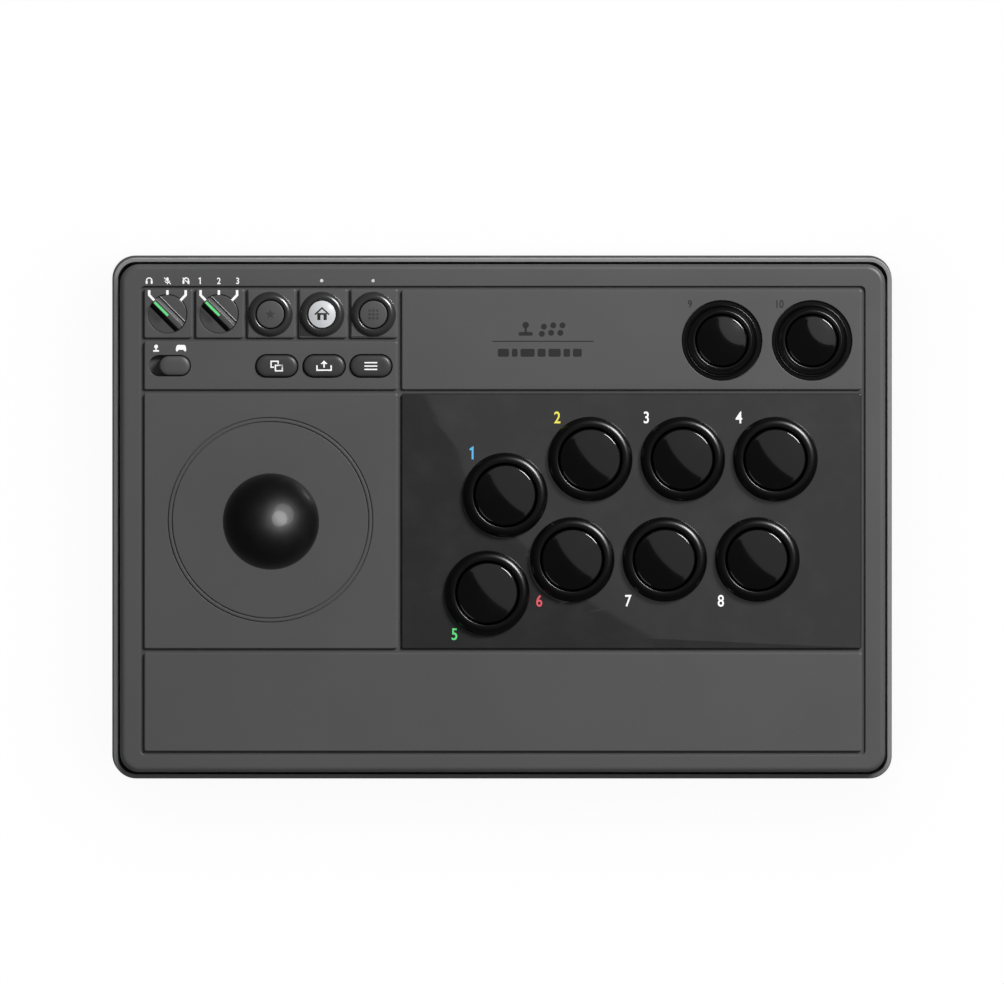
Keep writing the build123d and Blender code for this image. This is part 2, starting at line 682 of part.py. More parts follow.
def lever_housing():
    """The moulded lever body: top flange, round socket tube, ribs and corner posts."""
    x, y = STICK
    top = DECK_UNDER - PLATE_T
    half = HOUSING / 2
    half_d = HOUSING_HALF_D
    rib_foot = 22.4
    post_foot = 13.9
    body = slab(x - half, y - half_d, x + half, y + half_d, top - 3, top, 2.0)
    body += disc(x, y, 26.0, top - 2, 14.0)
    for dx, dy in ((half - 9, 1.2), (1.2, half_d - 1)):
        body += block(x - dx, y - dy, rib_foot, x + dx, y + dy, top - 2)
    for sx in (-1, 1):
        for sy in (-1, 1):
            cx = x + sx * (half - POST / 2)
            cy = y + sy * (half_d - POST / 2)
            post_h = top - 2 - post_foot
            body += Pos(cx, cy, post_foot + post_h / 2) * Box(POST, POST, post_h)
    body -= disc(x, y, 20.0, 26.0, 15.0)
    body -= Pos(x, y, PIVOT_Z) * Sphere(SOCKET_R)
    body -= disc(x, y, PIVOT_Z, top + 1, 9.5)
    body -= disc(x, y, 20.0, PIVOT_Z, 9.0)
    return body


def lever_board():
    """The lever's circuit board, with a tab for its plug."""
    x, y = STICK
    board = block(x - 22.8, y - 18.3, 20.8, x + 22.8, y + 18.3, 22.4)
    board += block(x + 22.8, y - 7, 20.8, x + 29.5, y + 7, 22.4)
    board += block(x - 14, y - 26, 20.8, x + 14, y + 26, 22.4)
    return board - disc(x, y, 20, 23, 13.2)


def lever_switches():
    """The four snap switches round the actuator."""
    x, y = STICK
    near, far, half = 12.4, 22.4, 9.9
    low, high = 14.4, 20.8
    return group([
        block(x + near, y - half, low, x + far, y + half, high),
        block(x - far, y - half, low, x - near, y + half, high),
        block(x - half, y + near, low, x + half, y + far, high),
        block(x - half, y - far, low, x + half, y - near, high),
    ])


def lever_gate():
    """The square gate that stops the lever's foot."""
    x, y = STICK
    half_w, half_d = HOUSING / 2, HOUSING_HALF_D
    plate = slab(x - half_w, y - half_d, x + half_w, y + half_d, 11.4, 13.9, 3.0)
    return plate - slab(x - 9.2, y - 9.2, x + 9.2, y + 9.2, 11, 14, 2.0)


def lever_lead():
    """The lead from the lever's board to the main board, with its plug."""
    x, y = STICK
    plug = block(x + 22.8, y - 6.5, 14.2, x + 29.3, y + 6.5, 20.8)
    route = [
        (x + 29.32, y, 17.4),
        (x + 40, y, 17.4),
        (x + 52, y + 9, 15.5),
        (x + 62, y + 22, 15.0),
        (x + 71, y + 35, 18.0),
        (x + 78.4, y + 43, 25.5),
        (x + 80.4, y + 50, 31.6),
        (x + 80.4, y + 58.68, 31.6),
    ]
    return group([plug, cable(route, 1.6)])


def pivot_ring():
    """The nylon ring between the lever's pivot ball and its socket."""
    x, y = STICK
    band = disc(x, y, PIVOT_Z - 4, PIVOT_Z + 4, RING_OUT + 1)
    ring = (Pos(x, y, PIVOT_Z) * Sphere(RING_OUT)) & band
    return ring - Pos(x, y, PIVOT_Z) * Sphere(RING_IN)


def pivot_ball():
    """The ball that the shaft turns on, flat above and below, bored for the shaft."""
    x, y = STICK
    band = disc(x, y, PIVOT_Z - 6, PIVOT_Z + 6, PIVOT_R + 1)
    ball = (Pos(x, y, PIVOT_Z) * Sphere(PIVOT_R)) & band
    return ball - disc(x, y, PIVOT_Z - 8, PIVOT_Z + 8, SHAFT_R + 0.02)


def stick_shaft():
    """The steel shaft, turned down at the top for the ball's thread."""
    x, y = STICK
    shoulder = BALL_Z - 17.6
    shaft = disc(x, y, SHAFT_FOOT, shoulder, SHAFT_R)
    shaft = chamfer(shaft.faces().sort_by(Axis.Z)[0].edges(), 0.6)
    shaft += disc(x, y, shoulder, shoulder + 12, 2.98)
    groove = tube(x, y, 10.0, 10.7, SHAFT_R + 1, SHAFT_R - 0.8)
    return shaft - groove


def shaft_cover():
    """The plastic sleeve over the visible part of the shaft."""
    x, y = STICK
    sleeve = tube(x, y, PIVOT_Z + 6.5, BALL_Z - 17.6, COVER_R, SHAFT_R + 0.05)
    return sleeve


def ball_top():
    """The ball grip, with a small flat and a blind hole for the shaft below."""
    x, y = STICK
    ball = Pos(x, y, BALL_Z) * Sphere(BALL_R)
    ball -= disc(x, y, BALL_Z - BALL_R - 1, BALL_Z - 17.6, BALL_R)
    return ball - disc(x, y, BALL_Z - BALL_R - 1, BALL_Z - 5.2, 3.0)


def centring_spring():
    """The coil spring between the pivot and the actuator."""
    x, y = STICK
    wire = 0.6
    turns = 4.0
    low, high = 20.65, 26.8
    path = Helix(pitch=(high - low) / turns, height=high - low, radius=6.0)
    start = Plane(origin=path @ 0, z_dir=path % 0)
    coil = sweep(start * Circle(wire), path, is_frenet=True)
    return Pos(x, y, low) * coil


def actuator():
    """The sleeve on the shaft's foot that presses the switches, with a collar for the gate."""
    x, y = STICK
    sleeve = disc(x, y, 14.4, 20.0, 8.0)
    sleeve = chamfer(sleeve.edges().filter_by(GeomType.CIRCLE), 0.5)
    sleeve += disc(x, y, 10.8, 14.4, 5.0)
    return sleeve - disc(x, y, 10, 21, SHAFT_R + 0.02)


def retaining_clip():
    """The open spring clip under the actuator."""
    x, y = STICK
    clip = tube(x, y, 10.0, 10.7, 5.0, SHAFT_R - 0.75)
    return clip - block(x - 1.6, y - 6, 9.5, x + 1.6, y - 2, 11)


def dust_washer():
    """The thin disc that lies on the top face and hides the lever's hole."""
    x, y = STICK
    washer = disc(x, y, CASE_TOP + 0.3, CASE_TOP + 1.3, WASHER_R)
    washer = fillet(top_edges(washer), 0.4)
    return washer - disc(x, y, CASE_TOP, CASE_TOP + 2, 6.6)


def under_washer():
    """The thin slip washer under the top face, with a slot that lets the shaft swing in Y."""
    x, y = STICK
    washer = disc(x, y, DECK_UNDER + 0.3, DECK_UNDER + 0.9, 16.5)
    slot = extrude(Pos(x, y, DECK_UNDER) * Rot(0, 0, 90) * SlotOverall(20.0, 13.2), 2)
    return washer - slot


# ---------------------------------------------------------------- all pieces

os.makedirs("parts", exist_ok=True)

save("bottom_shell", lower_shell())
save("base_mat", base_mat())
save("ballast_plate", ballast_plate())
save("top_shell", upper_shell())
save("button_faceplate", button_faceplate())
save("case_screws", case_screws())
save("machine_screws", machine_screws())

for label, (bx, by) in BIG_BUTTONS.items():
    save(f"button_body_{label}", button_body(bx, by, BIG))
    save(f"plunger_{label}", plunger(bx, by, BIG))
save("small_button_bodies", group([button_body(bx, by, SMALL) for bx, by in SMALL_BUTTONS.values()]))
for label, (bx, by) in SMALL_BUTTONS.items():
    save(f"plunger_{label}", plunger(bx, by, SMALL))
save("button_switches", button_switches())

for label, (kx, ky) in KNOBS.items():
    save(f"{label}_knob", selector_knob(kx, ky))
for label, (cx, cy) in ROUND_CAPS.items():
    save(f"{label}_key", round_cap(cx, cy, 0.9 if label == "home" else 0.25))
for label, (cx, cy) in PILLS.items():
    save(f"{label}_key", pill_cap(cx, cy))
save("mode_slider", mode_slider())
save("control_board", control_board())
save("keypad_membrane", keypad_membrane())
save("control_switches", control_switches())
save("light_pipes", light_pipes())

save("main_board", main_board())
save("usb_socket", usb_socket())
save("audio_jack", audio_jack())
save("battery_pack", battery_pack())

save("lever_plate", mounting_plate())
save("lever_housing", lever_housing())
save("lever_board", lever_board())
save("lever_switches", lever_switches())
save("lever_gate", lever_gate())
save("lever_lead", lever_lead())
save("pivot_ring", pivot_ring())
save("pivot_ball", pivot_ball())
save("stick_shaft", stick_shaft())
save("shaft_cover", shaft_cover())
save("ball_top", ball_top())
save("centring_spring", centring_spring())
save("actuator", actuator())
save("retaining_clip", retaining_clip())
save("dust_washer", dust_washer())
save("under_washer", under_washer())
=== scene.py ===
# %% [markdown]
# # An arcade joystick panel
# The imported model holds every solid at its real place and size. This lesson keeps that
# model as the frame and dresses it: turned buttons with a polished skin, a grained case,
# printed marks, and a soft studio. Blender works in metres, so `MM` stands for one
# millimetre.

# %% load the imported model
import json
import math

import bmesh
import bpy
from mathutils import Matrix, Vector

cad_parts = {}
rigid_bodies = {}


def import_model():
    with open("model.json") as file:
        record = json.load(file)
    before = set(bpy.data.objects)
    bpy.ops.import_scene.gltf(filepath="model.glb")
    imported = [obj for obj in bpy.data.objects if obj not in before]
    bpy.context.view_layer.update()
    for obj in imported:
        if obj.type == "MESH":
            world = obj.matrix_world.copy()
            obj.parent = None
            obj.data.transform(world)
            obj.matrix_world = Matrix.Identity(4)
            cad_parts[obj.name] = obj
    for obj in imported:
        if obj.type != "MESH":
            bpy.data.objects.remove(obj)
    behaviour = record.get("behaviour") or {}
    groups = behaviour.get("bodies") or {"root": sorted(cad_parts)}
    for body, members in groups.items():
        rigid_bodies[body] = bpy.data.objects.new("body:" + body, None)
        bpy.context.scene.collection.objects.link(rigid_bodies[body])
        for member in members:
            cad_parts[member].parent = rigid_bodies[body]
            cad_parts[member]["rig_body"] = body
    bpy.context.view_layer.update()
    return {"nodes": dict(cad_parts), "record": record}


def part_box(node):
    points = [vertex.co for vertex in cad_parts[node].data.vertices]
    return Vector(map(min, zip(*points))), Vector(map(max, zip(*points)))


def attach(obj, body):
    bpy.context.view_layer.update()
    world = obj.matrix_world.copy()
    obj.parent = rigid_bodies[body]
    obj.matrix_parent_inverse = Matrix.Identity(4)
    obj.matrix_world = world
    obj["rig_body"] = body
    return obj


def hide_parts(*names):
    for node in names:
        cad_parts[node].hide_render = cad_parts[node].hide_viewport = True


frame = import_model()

MM = 0.001
nodes = frame["nodes"]
body_of = {name: node["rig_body"] for name, node in nodes.items()}


# %% [markdown]
# ## Places, read from the frame
# A piece is placed by asking the frame where a solid is. Most pieces here only need a
# solid's middle, its foot and top, and how wide it is.

# %% where things are
def middle(node):
    """The centre of a solid's box, in plan."""
    low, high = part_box(node)
    return (low.x + high.x) / 2, (low.y + high.y) / 2


def middle_mm(node):
    """The same centre in millimetres."""
    x, y = middle(node)
    return x / MM, y / MM


def heights(node):
    """The foot and the top of a solid, in millimetres."""
    low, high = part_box(node)
    return low.z / MM, high.z / MM


def radius_of(node):
    """Half the width of a round solid, in millimetres."""
    low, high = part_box(node)
    return (high.x - low.x) / MM / 2


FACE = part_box("button_faceplate")[1].z
print("top face at", round(FACE / MM, 2), "mm")


# %% [markdown]
# ## Shader maths as Python
# A material is a graph of nodes. Wiring sums and products by hand hides the idea, so a
# small class wraps a socket and lets Python's own operators add the Math nodes. Each
# operator has its reflected form, so a number may stand first, as in `1 - mask`.

# %% the socket wrapper
class Signal:
    """A number or a colour that varies over a surface."""

    def __init__(self, finish, socket):
        self.finish = finish
        self.socket = socket

    def maths(self, operation, other, swapped=False):
        """Add a Math node; when swapped, the signal is its second value."""
        pair = (other, self) if swapped else (self, other)
        return self.finish.node("ShaderNodeMath", {"operation": operation}, *pair)

    def __add__(self, other):
        return self.maths("ADD", other)

    def __sub__(self, other):
        return self.maths("SUBTRACT", other)

    def __rsub__(self, other):
        return self.maths("SUBTRACT", other, swapped=True)

    def __mul__(self, other):
        return self.maths("MULTIPLY", other)

    __radd__ = __add__
    __rmul__ = __mul__


# %% [markdown]
# ## A material builder
# Every finish starts from the Principled surface shader. Numbers that are the same all
# over are set on the shader's own sockets. Only what changes over the surface is linked,
# and only to colour, roughness, metal, coat weight, glow or the surface normal.

# %% the material builder
class Finish:
    """One material and the nodes behind it."""

    def __init__(self, name, colour, roughness, **constants):
        self.material = bpy.data.materials.new(name)
        self.material.use_nodes = True
        self.tree = self.material.node_tree
        self.shader = self.tree.nodes["Principled BSDF"]
        self.shader.inputs["Base Color"].default_value = (*colour, 1.0)
        self.shader.inputs["Roughness"].default_value = roughness
        for socket, value in constants.items():
            self.shader.inputs[socket.replace("_", " ")].default_value = value
        self.material.diffuse_color = (*colour, 1.0)

    def node(self, kind, settings, *values, out=0, **named):
        """Add any node: its settings first, then the values or links of its sockets."""
        made = self.tree.nodes.new(kind)
        for key, value in settings.items():
            if key == "stops":
                self.set_stops(made.color_ramp.elements, value)
            else:
                setattr(made, key, value)
        pairs = list(zip(made.inputs, values))
        pairs += [(made.inputs[key.replace("_", " ")], value) for key, value in named.items()]
        for socket, value in pairs:
            if isinstance(value, Signal):
                self.tree.links.new(value.socket, socket)
            else:
                socket.default_value = value
        return Signal(self, made.outputs[out])

    @staticmethod
    def set_stops(elements, stops):
        """Give a colour ramp its stops, each a place and a grey."""
        while len(elements) < len(stops):
            elements.new(0.5)
        for element, (place, grey) in zip(elements, stops):
            element.position = place
            element.color = (grey, grey, grey, 1.0)

    def place(self, stretch=(1.0, 1.0, 1.0), turn=(0.0, 0.0, 0.0)):
        """Object coordinates, stretched or turned for a pattern with a grain."""
        where = self.node("ShaderNodeTexCoord", {}, out=3)
        return self.node("ShaderNodeMapping", {}, where, Scale=stretch, Rotation=turn)

    def noise(self, size, detail=2.0, rough=0.5, where=None):
        """Soft noise whose blotches are about `size` metres across."""
        return self.node(
            "ShaderNodeTexNoise", {"normalize": True}, Vector=where or self.place(),
            Scale=1.0 / size, Detail=detail, Roughness=rough,
        )

    def grains(self, size):
        """The distance to the nearest of many scattered points, about `size` metres apart."""
        return self.node("ShaderNodeTexVoronoi", {}, Vector=self.place(), Scale=1.0 / size)

    def ramp(self, signal, *stops):
        """Remap a number through stops of place and grey."""
        return self.node("ShaderNodeValToRGB", {"stops": stops}, signal)

    def shade(self, mask, first, second):
        """A colour that goes from first to second as the mask goes from 0 to 1."""
        made = self.node("ShaderNodeMix", {"data_type": "RGBA"}, mask, out=2)
        sockets = made.socket.node.inputs
        for socket, colour in ((sockets[6], first), (sockets[7], second)):
            if isinstance(colour, Signal):
                self.tree.links.new(colour.socket, socket)
            else:
                socket.default_value = (*colour, 1.0)
        return made

    def feed(self, **signals):
        """Link varying values to the surface shader."""
        for name, signal in signals.items():
            self.tree.links.new(signal.socket, self.shader.inputs[name.replace("_", " ")])
        return self

    def bump(self, height, depth, strength):
        """Raise the surface by `depth` metres where the height is 1."""
        made = self.node("ShaderNodeBump", {}, Strength=strength, Distance=depth, Height=height)
        return self.feed(Normal=made)


def grey(level):
    """A neutral colour."""
    return (level, level, level * 1.015)


def brighter(colour, times):
    """The same colour, lighter or darker."""
    return tuple(channel * times for channel in colour)


# %% [markdown]
# ## The finishes
# The case is ABS moulded against an etched tool: a fine even grain that breaks up the shine, with
# faint flow marks and polished patches. The same grain in other tones carries painted light and
# shade: a darker channel floor and darker collars round the small keys are painted shade, and a
# much lighter top on the lower shell's lip is a painted highlight. One nearly black finish is
# painted shade on the selectors' flanks. The faceplate is black resin with a clear gloss coat.
# Buttons and the ball are polished, so what shows on them is not their own colour but the
# room, and a few hairline scratches. Their levels are far below those of a real plastic,
# chosen to suit the panels of this studio.

# %% moulded, grained case plastic
def moulded(name, level, roughness, grain=0.28 * MM, depth=0.018 * MM, shine=0.42):
    """Satin plastic with an etched grain, faint flow marks and hand polish."""
    colour = grey(level)
    finish = Finish(name, colour, roughness, Specular_IOR_Level=shine)
    etched = finish.noise(grain, detail=3.0, rough=0.65)
    blotch = finish.noise(60 * MM, detail=3.0, rough=0.6)
    specks = finish.noise(1.1 * MM, detail=1.0)
    tone = finish.ramp(blotch * 0.7 + specks * 0.3, (0.3, 0.0), (0.7, 1.0))
    finish.feed(
        Base_Color=finish.shade(tone, brighter(colour, 0.965), brighter(colour, 1.035)),
        Roughness=blotch * 0.12 + etched * 0.08 + (roughness - 0.1),
    )
    return finish.bump(etched, depth, 0.55).material


CASE = moulded("case_plastic", 0.087, 0.41)
# Painted shade: a darker grain for the floor of the lid's channel.
CHANNEL_SHADE = moulded("case_channel", 0.060, 0.62)
KEYS = moulded("key_plastic", 0.080, 0.42, grain=0.2 * MM, depth=0.008 * MM)
PILLS = moulded("pill_plastic", 0.048, 0.36, grain=0.2 * MM, depth=0.006 * MM)
KNOBS = moulded("knob_plastic", 0.080, 0.27, grain=0.2 * MM, depth=0.004 * MM)
RIMS = moulded("rim_satin", 0.0012, 0.29, grain=0.2 * MM, depth=0.002 * MM, shine=0.62)
# Painted shade: a nearly black finish for the selectors' flanks, where shade would fall.
SHADE = moulded("knob_shade", 0.004, 0.50, shine=0.15)
# Painted highlight: the lip's top is about two and a half times as light as the case.
LIP_HIGHLIGHT = moulded("lip_band", 0.215, 0.38)
# Painted shade: the collars and the wells round the round keys take this darker, glossier grain.
COLLAR_SHADE = moulded("collar_plastic", 0.030, 0.25, grain=0.2 * MM, depth=0.004 * MM, shine=0.9)
LEVER_BLACK = moulded("housing_black", 0.012, 0.42, grain=0.22 * MM, depth=0.01 * MM)
SWITCH_BLACK = moulded("switch_black", 0.018, 0.5)
NYLON = moulded("nylon_white", 0.72, 0.45, grain=0.4 * MM, depth=0.006 * MM)


# %% polished plastics
def polished(name, colour, roughness, coat, coat_roughness):
    """Glossy plastic with hairline scratches, dust-fine pits and faint finger marks."""
    finish = Finish(
        name, colour, roughness, Coat_Weight=coat, Coat_Roughness=coat_roughness, Coat_IOR=1.5,
        Specular_IOR_Level=0.35,
    )
    smear = finish.noise(14 * MM, detail=4.0, rough=0.62)
    lengthwise = finish.place(stretch=(1, 0.035, 1), turn=(0, 0, 0.5))
    crosswise = finish.place(stretch=(0.03, 1, 1), turn=(0, 0, 0.3))
    along = finish.ramp(finish.noise(0.09 * MM, where=lengthwise), (0.70, 0.0), (0.78, 1.0))
    across = finish.ramp(finish.noise(0.11 * MM, where=crosswise), (0.71, 0.0), (0.79, 1.0))
    hairs = along + across
    touched = finish.ramp(smear, (0.45, 0.0), (0.75, 1.0))
    finish.feed(
        Roughness=touched * 0.07 + hairs * 0.05 + roughness,
        Base_Color=finish.shade(touched, colour, brighter(colour, 1.25)),
    )
    return finish.bump(hairs + smear * 0.2, 0.0012 * MM, 0.25).material


BUTTON = polished("button_gloss", grey(0.0024), 0.10, 0.55, 0.03)
BALL = polished("ball_gloss", grey(0.0022), 0.44, 0.18, 0.02)
PLATE = polished("faceplate_gloss", grey(0.020), 0.34, 0.85, 0.02)
LIT = polished("lit_white", (0.62, 0.63, 0.65), 0.25, 0.5, 0.05)
SMOKE = polished("gate_smoke", grey(0.12), 0.2, 0.4, 0.05)
WRAP = polished("battery_wrap", (0.02, 0.07, 0.2), 0.3, 0.3, 0.1)


# %% rubber, metal, board and print
def rubber(name, level):
    """Matt rubber with a leathery grain and a bloom of dust."""
    finish = Finish(name, grey(level), 0.85, Specular_IOR_Level=0.3)
    cells = finish.grains(1.4 * MM)
    dust = finish.noise(25 * MM, detail=5.0, rough=0.7)
    finish.feed(
        Base_Color=finish.shade(dust, grey(level * 0.8), grey(level * 1.5)),
        Roughness=cells * 0.15 + 0.75,
    )
    return finish.bump(cells, 0.12 * MM, 0.7).material


def metal(name, level, roughness):
    """Plated steel with a brushed grain."""
    finish = Finish(name, grey(level), roughness, Metallic=1.0)
    brushed = finish.noise(0.5 * MM, detail=4.0, where=finish.place(stretch=(0.03, 1, 1)))
    finish.feed(
        Base_Color=finish.shade(brushed, grey(level * 0.85), grey(level * 1.1)),
        Roughness=brushed * 0.2 + (roughness - 0.1),
    )
    return finish.bump(brushed, 0.004 * MM, 0.4).material


def laminate(name):
    """Circuit board: green solder mask over faint copper tracks."""
    finish = Finish(name, (0.012, 0.085, 0.035), 0.3, Coat_Weight=0.4, Coat_Roughness=0.1)
    tracks = finish.node(
        "ShaderNodeTexBrick", {}, Vector=finish.place(), Scale=90.0, Mortar_Size=0.06,
        Color1=(0, 0, 0, 1), Color2=(0, 0, 0, 1), Mortar=(1, 1, 1, 1),
    )
    finish.feed(Base_Color=finish.shade(tracks, (0.010, 0.075, 0.030), (0.03, 0.16, 0.06)))
    return finish.bump(tracks, 0.02 * MM, 0.5).material


def ink(name, colour, glow=0.0):
    """Screen-printed ink: flat, a touch chalky, thinner in places, with a painted glow of its
    own.
    """
    finish = Finish(name, colour, 0.55, Emission_Color=(*colour, 1.0), Emission_Strength=glow)
    thin = finish.noise(0.35 * MM, detail=3.0, rough=0.6)
    finish.feed(
        Base_Color=finish.shade(thin, brighter(colour, 0.9), brighter(colour, 1.05)),
        Roughness=thin * 0.2 + 0.45,
    )
    return finish.bump(thin, 0.006 * MM, 0.5).material


RUBBER = rubber("mat_rubber", 0.022)
SILICONE = rubber("silicone", 0.28)
JACKET = rubber("lead_jacket", 0.015)
STEEL = metal("screw_steel", 0.55, 0.32)
BALLAST = metal("ballast_steel", 0.42, 0.45)
BRIGHT = metal("socket_metal", 0.7, 0.22)
BOARD = laminate("board_laminate")
# The white and the coloured inks have a little painted glow, so they read brighter than the lamps
# alone make them.
INK = {
    "white": ink("ink_white", (0.88, 0.88, 0.89), 0.22),
    "dark": ink("ink_dark", grey(0.012)),
    "yellow": ink("ink_yellow", (0.86, 0.78, 0.10), 0.1),
    "blue": ink("ink_blue", (0.10, 0.46, 0.80), 0.1),
    "green": ink("ink_green", (0.12, 0.74, 0.22), 0.1),
    "red": ink("ink_red", (0.78, 0.10, 0.13), 0.1),
    # Painted shade: a grey a little darker than the keys, standing in for the shade in engraved
    # marks.
    "engraving_shade": ink("ink_engraved", grey(0.038)),
}


# %% which finish each of the record's material slots takes
SLOTS = {
    "case_plastic": CASE, "key_plastic": KEYS, "housing_black": LEVER_BLACK,
    "switch_black": SWITCH_BLACK, "nylon_white": NYLON, "button_gloss": BUTTON,
    "ball_gloss": BALL, "faceplate_gloss": PLATE, "lit_white": LIT, "gate_smoke": SMOKE,
    "battery_wrap": WRAP, "mat_rubber": RUBBER, "silicone": SILICONE, "lead_jacket": JACKET,
    "screw_steel": STEEL, "ballast_steel": BALLAST, "socket_metal": BRIGHT,
    "board_laminate": BOARD,
}
slot_of = {material.name: slot for slot, material in SLOTS.items()}
slot_of |= {PILLS.name: "key_plastic", KNOBS.name: "key_plastic", RIMS.name: "button_gloss"}
for part in frame["record"]["subparts"]:
    surface = nodes[part["node"]].data
    surface.materials.clear()
    surface.materials.append(SLOTS[part["material_slot"]])
print("finishes:", len(SLOTS), "inks:", len(INK))


# %% [markdown]
# ## From a bmesh to a finished piece
# Every new piece ends the same way: doubles merged, normals turned outwards, faces smooth except
# across real corners, then it is told which body it rides on and which finish it takes, and the
# plain solid it stands for is hidden.

# %% finishing a piece
def finished(name, bm, material, body, stands_for=(), crease=32.0):
    """Turn a bmesh into an object that rides on a body of the frame."""
    bmesh.ops.remove_doubles(bm, verts=bm.verts, dist=0.0004 * MM)
    bmesh.ops.recalc_face_normals(bm, faces=bm.faces)
    mesh = bpy.data.meshes.new(name)
    bm.to_mesh(mesh)
    bm.free()
    mesh.materials.append(material)
    mesh.shade_smooth()
    mesh.set_sharp_from_angle(angle=math.radians(crease))
    made = bpy.data.objects.new(name, mesh)
    bpy.context.scene.collection.objects.link(made)
    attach(made, body)
    if stands_for:
        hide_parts(*stands_for)
    return made


def sharp_edges(bm, degrees):
    """The edges whose two faces meet at more than an angle."""
    limit = math.radians(degrees)
    shared = [edge for edge in bm.edges if len(edge.link_faces) == 2]
    return [edge for edge in shared if edge.calc_face_angle(0) > limit]


def extruded(bm, faces):
    """Extrude faces as one region and give back the new vertices and the new faces."""
    grown = bmesh.ops.extrude_face_region(bm, geom=faces)["geom"]
    verts = [item for item in grown if isinstance(item, bmesh.types.BMVert)]
    return verts, [item for item in grown if isinstance(item, bmesh.types.BMFace)]


# %% [markdown]
# ## Turned pieces
# Buttons, the ball, washers and round keys are all turned: an outline spun about an
# upright axis. The outline is a short list of radius and height, in millimetres, with its
# round stretches worked out by a small arc function. A shallow dome is a cap cut from a
# large sphere.

# %% the lathe
def arc(r, z, radius, start, stop, steps=8, squash=1.0):
    """Points along an arc about (r, z), between two angles in degrees."""
    out = []
    for i in range(steps + 1):
        angle = math.radians(start + (stop - start) * i / steps)
        out.append((r + radius * math.cos(angle), z + radius * squash * math.sin(angle)))
    return out


def dome(reach, rise):
    """Radius and half-angle of the sphere whose cap has this half-width and this rise."""
    radius = (reach ** 2 + rise ** 2) / (2 * rise)
    return radius, math.degrees(math.asin(reach / radius))


def lathe(outline, place, steps=96, closed=True):
    """Spin an outline of radius and height about an upright axis."""
    bm = bmesh.new()
    points = [bm.verts.new((r * MM, 0, z * MM)) for r, z in outline]
    ends = points[1:] + points[:1] if closed else points[1:]
    lines = [bm.edges.new(pair) for pair in zip(points, ends)]
    bmesh.ops.spin(
        bm, geom=points + lines, cent=(0, 0, 0), axis=(0, 0, 1), dvec=(0, 0, 0),
        angle=math.tau, steps=steps, use_merge=True, use_normal_flip=False, use_duplicate=False,
    )
    bmesh.ops.translate(bm, verts=bm.verts, vec=(*place, 0))
    return bm


# %% [markdown]
# ## Push buttons
# A 30 mm arcade button is a convex rim with a snap-in barrel, and a domed plunger that
# slides in it. The dome is shallow, so it gathers the softbox into one curved sheen. The
# 24 mm buttons have a stepped rim: a sloping top, a rounded edge and a thin flange.

# %% button rims and plungers
# WALL is how far the barrel stands in from the flange, and SHOULDER how high the rim's
# outer edge lies above its seat. SMALL_RISE is a small rim's whole height above its seat.
BIG_BORE, BIG_WALL, BIG_SHOULDER = 12.45, 1.65, 0.5
SMALL_BORE, SMALL_WALL, SMALL_SHOULDER = 10.35, 3.55, 1.2
SMALL_FLANGE, SMALL_STEP, SMALL_RISE = 15.4, 1.4, 3.9
RIM_LIP = 0.45
CAP_RISE, CAP_ROLL, CAP_WALL, CAP_HEAD = 1.15, 0.9, 1.5, 2.0


def rim_outline(node, bore, flange, seat, wall, shoulder):
    """A rim's outline: bore and eased lip, then the shoulder, the flange and the barrel."""
    foot, top = heights(node)
    outline = [(bore, foot), (bore, top - RIM_LIP)]
    outline += arc(bore + RIM_LIP, top - RIM_LIP, RIM_LIP, 180, 90, 5)
    outline += shoulder(bore, flange, seat, top)
    return outline + [(flange, seat), (flange - wall, seat), (flange - wall, foot)]


def convex_shoulder(bore, flange, seat, top):
    """One flattened arc, from a crest beside the bore down to the edge."""
    crest = bore + 1.15
    drop = top - (seat + BIG_SHOULDER)
    return arc(crest, top - drop, flange - crest, 90, 8, 18, squash=drop / (flange - crest))


def stepped_shoulder(bore, flange, seat, top):
    """A slope with both ends rounded, standing in from a thin flange."""
    edge, brow, sill = flange - SMALL_STEP, seat + SMALL_SHOULDER, seat + 0.75
    outline = arc(bore + 1.0, top - 0.8, 0.8, 90, 35, 5)
    outline += [(edge - 0.5, brow + 0.05)] + arc(edge - 0.2, brow - 0.05, 0.25, 140, 10, 6)
    return outline + [(edge + 0.05, sill), (flange - 0.2, sill), (flange, seat + 0.55)]


def plunger_outline(node):
    """A plunger's outline: shallow dome, rolled edge, skirt and hollow inside."""
    foot, crown = heights(node)
    radius = radius_of(node)
    edge, reach, wall = crown - CAP_RISE, radius - CAP_ROLL, radius - CAP_WALL
    sphere, half = dome(reach, crown - edge)
    outline = arc(0, crown - sphere, sphere, 90, 90 - half, 14)
    outline += arc(reach, edge - CAP_ROLL, CAP_ROLL, 78, 0, 6)
    return outline + [(radius, foot), (wall, foot), (wall, edge - CAP_HEAD), (0, edge - CAP_HEAD)]


def plunger(label):
    """Turn the plunger of one button."""
    node = f"plunger_{label}"
    cap = lathe(plunger_outline(node), middle(node), closed=False)
    return finished(f"cap_{label}", cap, BUTTON, body_of[node], [node])


labels = [str(number) for number in range(1, 11)]
big_labels, small_labels = labels[:8], labels[8:]
for label in big_labels:
    rim = f"button_body_{label}"
    outline = rim_outline(rim, BIG_BORE, radius_of(rim), FACE / MM, BIG_WALL, convex_shoulder)
    finished(f"rim_{label}", lathe(outline, middle(rim)), RIMS, body_of[rim], [rim])
    plunger(label)

